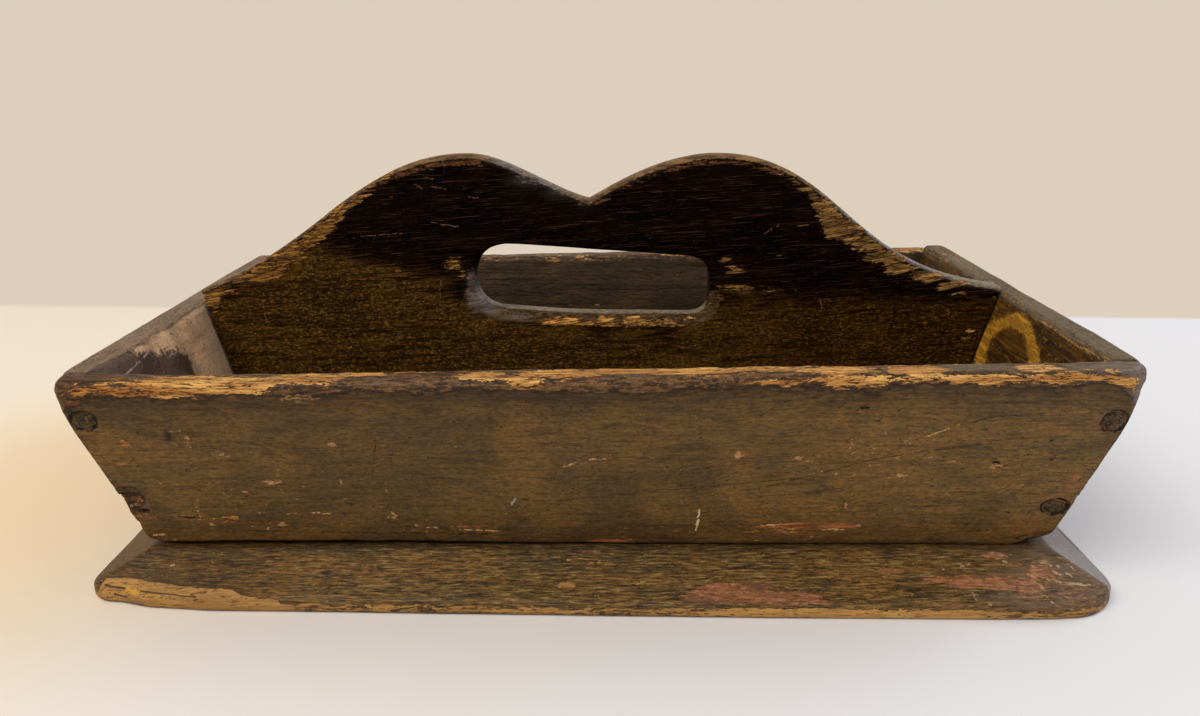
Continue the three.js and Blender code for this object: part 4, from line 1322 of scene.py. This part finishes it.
def handle_finish():
    g = new_graph("handle_paint")
    g.lean_grain(4)
    cloud = g.noise((26, 26, 14), 4, 0.62, 0.6, 33)
    streak = g.noise((14, 10, 1.3), 6, 0.68, 0.7, 31)
    fine = g.noise((2.6, 2, 0.55), 4, 0.7, 0.2, 32)
    speck = g.noise((1.6, 1.4, 1.1), 4, 0.68, 0, 34)
    olive = g.layers(
        g.blend(cloud, 0.38, 0.62, (68, 45, 12), (47, 29, 7)),
        (fine, 0.5, 0.64, 0.85, (106, 74, 32)), (speck, 0.55, 0.65, 0.7, (124, 90, 44)),
        (speck, 0.48, 0.38, 0.8, (20, 11, 3)), (streak, 0.5, 0.6, 0.8, (24, 13, 4)))
    hair = g.noise((18, 6, 0.3), 2, 0.5, 1.2, 37)
    black = g.layers(
        g.blend(cloud, 0.38, 0.62, (10, 3, 2), (3, 1, 1)),
        (streak, 0.54, 0.66, 0.5, (38, 17, 10)), (fine, 0.58, 0.72, 0.5, (60, 38, 24)),
        (hair, 0.62, 0.68, 0.5, (88, 62, 44)))
    x, z = g.axis(0), g.axis(2)
    olive = g.mix(g.step(x, 30, 90), olive, (228, 216, 200), "MULTIPLY")
    colour = g.blend(g.stray("dark", (streak, 5), (speck, 2.4)), -0.8, 0.8, olive, black)
    ragged = g.noise((10, 6, 1), 5, 0.7, 0.6, 35)
    wander = g.add(g.swing(ragged, 2.2), g.swing(speck, 1))
    brown = g.step(g.add(g.attribute("under"), g.times(wander, 0.9)), 0.42, 0.56)
    colour = g.mix(g.times(brown, 0.8), colour, g.blend(fine, 0.42, 0.62, (112, 72, 42), (58, 34, 20)))

    # Worn edges and lips, partly painted sheen: blue-grey where cool (the right shoulder, the left hump's
    # right flank, the hole's left lip), pale on the hole's lower lip, warm brown wear elsewhere.
    arris = g.attribute("arris")
    bend = g.add(x, g.step(z, 104, 112, 0, -12))
    cool = g.most(g.step(x, 86, 104), g.times(g.step(bend, -62, -52), g.step(x, 0, -24), 0.85))
    pale = g.times(g.step(x, -38, -28), g.step(z, 100, 93))
    warm_tone = g.blend(streak, 0.4, 0.6, (130, 99, 60), (76, 54, 32))
    cool_sheen_tone = g.blend(streak, 0.4, 0.6, (106, 99, 99), (50, 44, 43))
    worn_and_sheen_tone = g.mix(cool, warm_tone, cool_sheen_tone)
    worn_and_sheen_tone = g.mix(pale, worn_and_sheen_tone, g.blend(speck, 0.44, 0.6, (124, 109, 86), (84, 71, 50)))
    worn = g.step(g.stray(arris, (fine, 1.6), (speck, 1.4), (cloud, 0.8)), 0.5, 0.8)
    lip_tone = g.blend(fine, 0.42, 0.58, (92, 70, 44), (44, 30, 16))
    colour = g.layers(colour, (g.stray("lip", (ragged, 1.6)), 0.4, 0.66, 0.85, lip_tone))
    colour = g.mix(g.times(worn, 0.85), colour, worn_and_sheen_tone)

    g.lean_grain(9)
    cell, seam = g.scales((15, 6, 1.7))
    lobes = g.noise((9, 6, 2.3), 3, 0.55, 0.4, 36)
    wood, split, fibres = wood_colour(g, 0, (172, 128, 68), (114, 80, 38), (28, 17, 8), 0.525)
    wood = g.blend(x, 40, -40, wood, g.scale(wood, (0.96, 0.86, 0.62)))
    faint = g.times(g.step(x, 94, 84), g.step(x, 30, 40), g.step(z, 104, 112))
    # Painted light and shade: each torn chip of wood is made lighter or darker on its own.
    light = g.math("MULTIPLY_ADD", faint, -0.6, g.math("MULTIPLY_ADD", cell, 0.6, 0.72))
    wood = g.gain(g.gain(wood, light), g.step(z, 84, 80, 1, 1.7))
    wood = g.mix(g.times(seam, 0.75), wood, (46, 28, 12))
    torn_at = g.add(g.stray("tear", (lobes, 3.6), (cell, 1.8), (ragged, 3.5), (speck, 1)), -0.04)
    torn = g.step(torn_at, 0.06, 0.16)
    bare_at = g.add(g.attribute("bare"), wander)
    nicks = g.times(g.step(speck, 0.66, 0.71), g.step(cloud, 0.42, 0.52))
    bare = g.most(torn, g.step(bare_at, 0.5, 0.58), g.times(nicks, 0.5))
    # A dark border round the torn and rubbed places: the edge of the old paint, with painted shadow along the
    # torn wood's edge.
    halo = g.times(g.most(g.step(bare_at, 0.34, 0.5), g.step(torn_at, -0.25, 0.06)), g.less(bare))
    colour = g.mix(g.times(halo, 0.6), colour, (30, 16, 8))
    colour = g.mix(bare, colour, wood)
    height = g.add(
        g.times(streak, 0.08), g.times(fine, 0.08), g.times(bare, -0.2), g.times(split, bare, -0.35),
        g.times(fibres, bare, 0.2))
    rough = g.add(0.52, g.swing(speck, 0.3), g.times(bare, 0.25), g.times(arris, -0.06))
    sheen = g.add(0.02, g.times(arris, g.math("MULTIPLY_ADD", cool, 0.37, 0.08)), g.times(bare, 0.12))
    lines = g.strokes(g.shaken(3, 0.9, (1, 0, 1)), HANDLE_SCRATCHES)
    lines = g.times(lines, g.step(speck, 0.42, 0.52), g.step(g.axis(1), -3, -4))
    return g.finish(g.mix(g.times(lines, 0.7), colour, (112, 80, 54)), rough, height, sheen)


def base_finish():
    g = new_graph("base_paint")
    colour, lines, streak, mottle = paint_colour(
        g, 0, (92, 68, 32), (106, 76, 34), (42, 30, 15), (70, 58, 42), 3, 1.2)
    ragged = g.noise((9, 4, 1.3), 5, 0.66, 0.5, 41)
    flake = g.noise((2.4, 1.4, 0.8), 3, 0.62, 0, 42)
    wander = g.add(g.swing(ragged, 2.2), g.swing(flake, 1.1))
    slate = g.noise((40, 30, 6), 4, 0.6, 0.5, 43)
    glints = g.noise((6, 0.9, 0.5), 5, 0.74, 0.4, 44)
    colour = g.layers(
        colour, (slate, 0.46, 0.62, 0.45, (62, 51, 35)), (glints, 0.54, 0.62, 0.9, (142, 112, 64)),
        (glints, 0.48, 0.4, 0.9, (30, 21, 10)))
    x = g.axis(0)
    colour = g.mix(g.step(x, -95, -135), colour, (228, 216, 180), "MULTIPLY")
    right = g.step(x, 112, 160)
    colour = g.mix(g.times(right, g.step(ragged, 0.36, 0.6), 0.7), colour, (100, 78, 62))

    g.lean_grain(-20)
    slant = g.noise((6, 3, 0.7), 4, 0.62, 0.6, 47)
    g.grain = None
    slanting = g.times(g.swing(slant, 1.5), g.math("MULTIPLY_ADD", right, 0.85, 0.15))
    red = g.step(g.add(g.attribute("under"), g.times(wander, 0.8), slanting), 0.5, 0.58)
    red_tone = g.blend(glints, 0.42, 0.58, (116, 72, 48), (158, 104, 70))
    red_tone = g.mix(g.times(g.step(slant, 0.54, 0.66), right, 0.6), red_tone, (190, 142, 106))
    red_tone = g.layers(g.mottle(red_tone, (mottle, 1.8)), (ragged, 0.52, 0.58, 0.7, (76, 54, 38)))
    colour = g.mix(g.times(red, 0.85), colour, red_tone)

    wood, split, fibres = wood_colour(g, 0, (172, 128, 70), (142, 104, 58), (100, 70, 38), 0.58)
    wood = g.blend(x, 0, 40, wood, g.gain(wood, 1.14))
    bare_at = g.add(g.attribute("bare"), wander)
    specks = g.step(g.noise((1.8, 1.2, 0.8), 2, 0.5, 0, 45), 0.68, 0.73)
    bare = g.most(g.step(bare_at, 0.5, 0.58), g.times(specks, 0.7))
    halo = g.times(g.step(bare_at, 0.36, 0.5), g.less(bare))
    colour = g.mix(g.times(halo, 0.5), colour, (48, 33, 22))
    wedge_at = g.add(g.attribute("wedge"), g.times(wander, 0.35))
    wedge = g.step(wedge_at, -0.06, 0.06)
    rim = g.times(g.step(wedge_at, -0.45, -0.05), g.less(wedge))
    colour = g.mix(g.times(rim, 0.65), colour, (44, 30, 18))
    bare = g.most(bare, wedge)
    colour = g.mix(bare, colour, wood)

    flat = g.shaken(8, 0.8, (1, 0, 1))
    near_side = g.step(g.axis(1), -94, -98)
    gold = g.strokes(flat, [(-165.5, 5, -161.6, 4.6, 0.9)], 0.7)
    colour = g.mix(g.times(gold, near_side, 0.7), colour, (196, 144, 52))
    colour = g.mix(g.times(g.strokes(flat, BASE_CRACKS), near_side, 0.85), colour, (52, 32, 15))
    pale = g.times(g.strokes(flat, BASE_SCRATCHES), near_side, g.step(flake, 0.44, 0.54), 0.65)
    colour = g.mix(pale, colour, (182, 150, 120))
    # Painted reflection: pale grey over the right end's bevel.
    bevel_sheen_tone = g.blend(glints, 0.42, 0.6, (150, 148, 150), (114, 110, 112))
    colour = g.layers(colour, (g.stray("dust", (ragged, 0.9)), 0.4, 0.7, 0.72, bevel_sheen_tone))
    line = g.stroke(g.shaken(8, 0.6, (1, 1, 0)), (178, -58, 0), (181.6, -84, 0), 1)
    colour = g.mix(g.times(line, 0.8), colour, (44, 34, 28))
    # Dirt and painted shade along the joint with the boards above.
    colour = g.mix(g.times(g.attribute("grime"), 0.85), colour, (30, 21, 12))
    floor = g.blend(streak, 0.45, 0.62, (92, 70, 46), (62, 46, 31))
    colour = g.mix(g.attribute("inner"), colour, floor)
    under = g.blend(g.noise((80, 3, 3), 5, 0.6, 0.5, 46), 0.42, 0.62, (134, 106, 74), (98, 76, 54))
    colour = g.mix(g.times(g.attribute("belly"), 0.95), colour, under)
    height = g.add(
        g.times(lines, 0.14), g.times(glints, 0.12), g.times(mottle, 0.08), g.times(bare, -0.16),
        g.times(split, bare, -0.3), g.times(red, -0.06), g.times(fibres, bare, 0.1))
    return g.finish(colour, g.add(0.52, g.swing(mottle, 0.3), g.times(bare, 0.15)), height)


def nail_finish():
    """Iron heads under the same paint, rubbed and dirty."""
    g = new_graph("painted_iron")
    lumps = g.noise((2.6,) * 3, 4, 0.62, 0.4, 51)
    fine = g.noise((0.9, 0.9, 0.7), 3, 0.65, 0, 52)
    colour = g.layers(
        g.blend(lumps, 0.42, 0.58, (80, 60, 34), (44, 33, 20)),
        (fine, 0.52, 0.62, 0.8, (22, 15, 9)), (fine, 0.44, 0.34, 0.6, (112, 84, 52)))
    height = g.add(g.times(lumps, 0.45), g.times(fine, 0.12))
    return g.finish(colour, g.add(0.6, g.swing(fine, 0.3)), height)


FINISHES = {
    "front_board": worn_board(
        "front_paint", 0, BOARD_TONES, plain_inside((78, 58, 34), (56, 40, 24), (38, 26, 16), 61), True),
    "back_board": worn_board(
        "back_paint", 0, dict(BOARD_TONES, grey=(96, 82, 64), ground=(104, 82, 58)),
        plain_inside((66, 48, 25), (48, 34, 18), (25, 17, 9), 69)),
    "left_end_board": worn_board(
        "left_end_paint", 1,
        dict(BOARD_TONES, grey=(122, 100, 80), ground=(126, 100, 76), ground_dark=(90, 68, 52),
             wood=(172, 136, 96), wood_dark=(128, 98, 68)), pale_inside),
    "right_end_board": worn_board(
        "right_end_paint", 1,
        dict(BOARD_TONES, grey=(98, 84, 62), ground=(98, 78, 52), ground_dark=(58, 45, 30),
             wood=(172, 128, 70), wood_dark=(126, 90, 44)), knotty_inside),
    "handle_board": handle_finish(),
    "bottom_board": base_finish(),
}
iron = nail_finish()


def assign(piece, material):
    piece.data.materials.clear()
    piece.data.materials.append(material)


for nail in nails:
    assign(nail, iron)
for node, piece in boards.items():
    assign(piece, FINISHES[node])
    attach(piece, "root")
    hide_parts(node)


# Floor, background and light

# In millimetres: where the floor ends behind the box, and a pool of warm light painted on the floor to its
# left
TABLE_END, TABLE_SKEW, TABLE_BLUR = 315.1, 0.0449, 6
PAINTED_LIGHT_X, PAINTED_LIGHT_Y, PAINTED_LIGHT_INNER, PAINTED_LIGHT_OUTER = -250, -20, 10, 165
# In metres
FLOOR_HALF, FLOOR_BELOW = 9.0, 0.0004
CAMERA_BACK, CAMERA_UP, CAMERA_DIP = 0.4382, 0.1879, 16.54
AIM = (0.0, 0.0, 0.06)
WALL = tone(221, 207, 187)


def seen_rays(g):
    """1 for what the camera sees straight, mirrored or through glass."""
    path = g.tree.nodes.new("ShaderNodeLightPath").outputs
    return g.most(*(path[f"Is {kind} Ray"] for kind in ("Camera", "Glossy", "Transmission")))


def make_floor():
    mesh = bpy.data.meshes.new("floor")
    half, z = FLOOR_HALF, -FLOOR_BELOW
    corners = [(-half, -half, z), (half, -half, z), (half, half, z), (-half, half, z)]
    mesh.from_pydata(corners, [], [(0, 1, 2, 3)])
    floor = bpy.data.objects.new("floor", mesh)
    bpy.context.scene.collection.objects.link(floor)
    g = new_graph("floor_paint")
    x, y = g.axis(0), g.axis(1)
    # Painted light: the floor is warmer to the left and cooler to the right, with a pool of warm light
    # painted left of the box.
    colour = g.blend(x, -480, 160, (235, 221, 202), (222, 222, 226))
    painted_light_x, painted_light_y = g.add(x, -PAINTED_LIGHT_X), g.add(y, -PAINTED_LIGHT_Y)
    near = g.math("SQRT", g.add(g.times(painted_light_x, painted_light_x), g.times(painted_light_y, painted_light_y, 0.5)))
    colour = g.blend(near, PAINTED_LIGHT_OUTER, PAINTED_LIGHT_INNER, colour, (238, 214, 180))
    shader = g.node("BsdfPrincipled", named={
        "Base Color": colour, "Roughness": 0.65, "Specular IOR Level": 0.25})
    glow = g.node("Emission", (WALL,))
    far = g.step(g.add(y, g.times(x, TABLE_SKEW)), TABLE_END - TABLE_BLUR, TABLE_END + TABLE_BLUR)
    g.feed(g.node("MixShader", (g.times(far, seen_rays(g)), shader, glow)), g.output.inputs[0])
    mesh.materials.append(g.owner)


def make_world():
    world = bpy.data.worlds.new("studio")
    bpy.context.scene.world = world
    g = Graph(world, "World")
    ambient = g.node("Background", ((1.0, 0.96, 0.90, 1.0), 0.58))
    backdrop = g.node("Background", (WALL, 1))
    g.feed(g.node("MixShader", (seen_rays(g), ambient, backdrop)), g.output.inputs[0])


def area_light(name, place, size, power, colour):
    data = bpy.data.lights.new(name, "AREA")
    data.shape, data.size, data.size_y = "RECTANGLE", size[0], size[1]
    data.energy, data.color = power, colour
    lamp = bpy.data.objects.new(name, data)
    bpy.context.scene.collection.objects.link(lamp)
    lamp.location = place
    lamp.rotation_euler = (Vector(AIM) - Vector(place)).to_track_quat("-Z", "Y").to_euler()


def add_camera():
    data = bpy.data.cameras.new("camera")
    data.lens, data.sensor_width, data.sensor_fit = 31.5, 36.0, "HORIZONTAL"
    data.clip_start, data.clip_end = 0.01, 50.0
    camera = bpy.data.objects.new("camera", data)
    bpy.context.scene.collection.objects.link(camera)
    camera.location = (0.0, -CAMERA_BACK, CAMERA_UP)
    camera.rotation_euler = (math.radians(90.0 - CAMERA_DIP), 0.0, 0.0)
    bpy.context.scene.camera = camera


make_floor()
make_world()
area_light("key", (-0.9, -1.2, 1.5), (1.4, 1.1), 30.0, (1.0, 0.95, 0.88))
area_light("side", (1.5, 0.5, 1.0), (0.9, 0.9), 13.0, (0.80, 0.88, 1.0))
add_camera()
bpy.context.scene.view_settings.view_transform = "Standard"
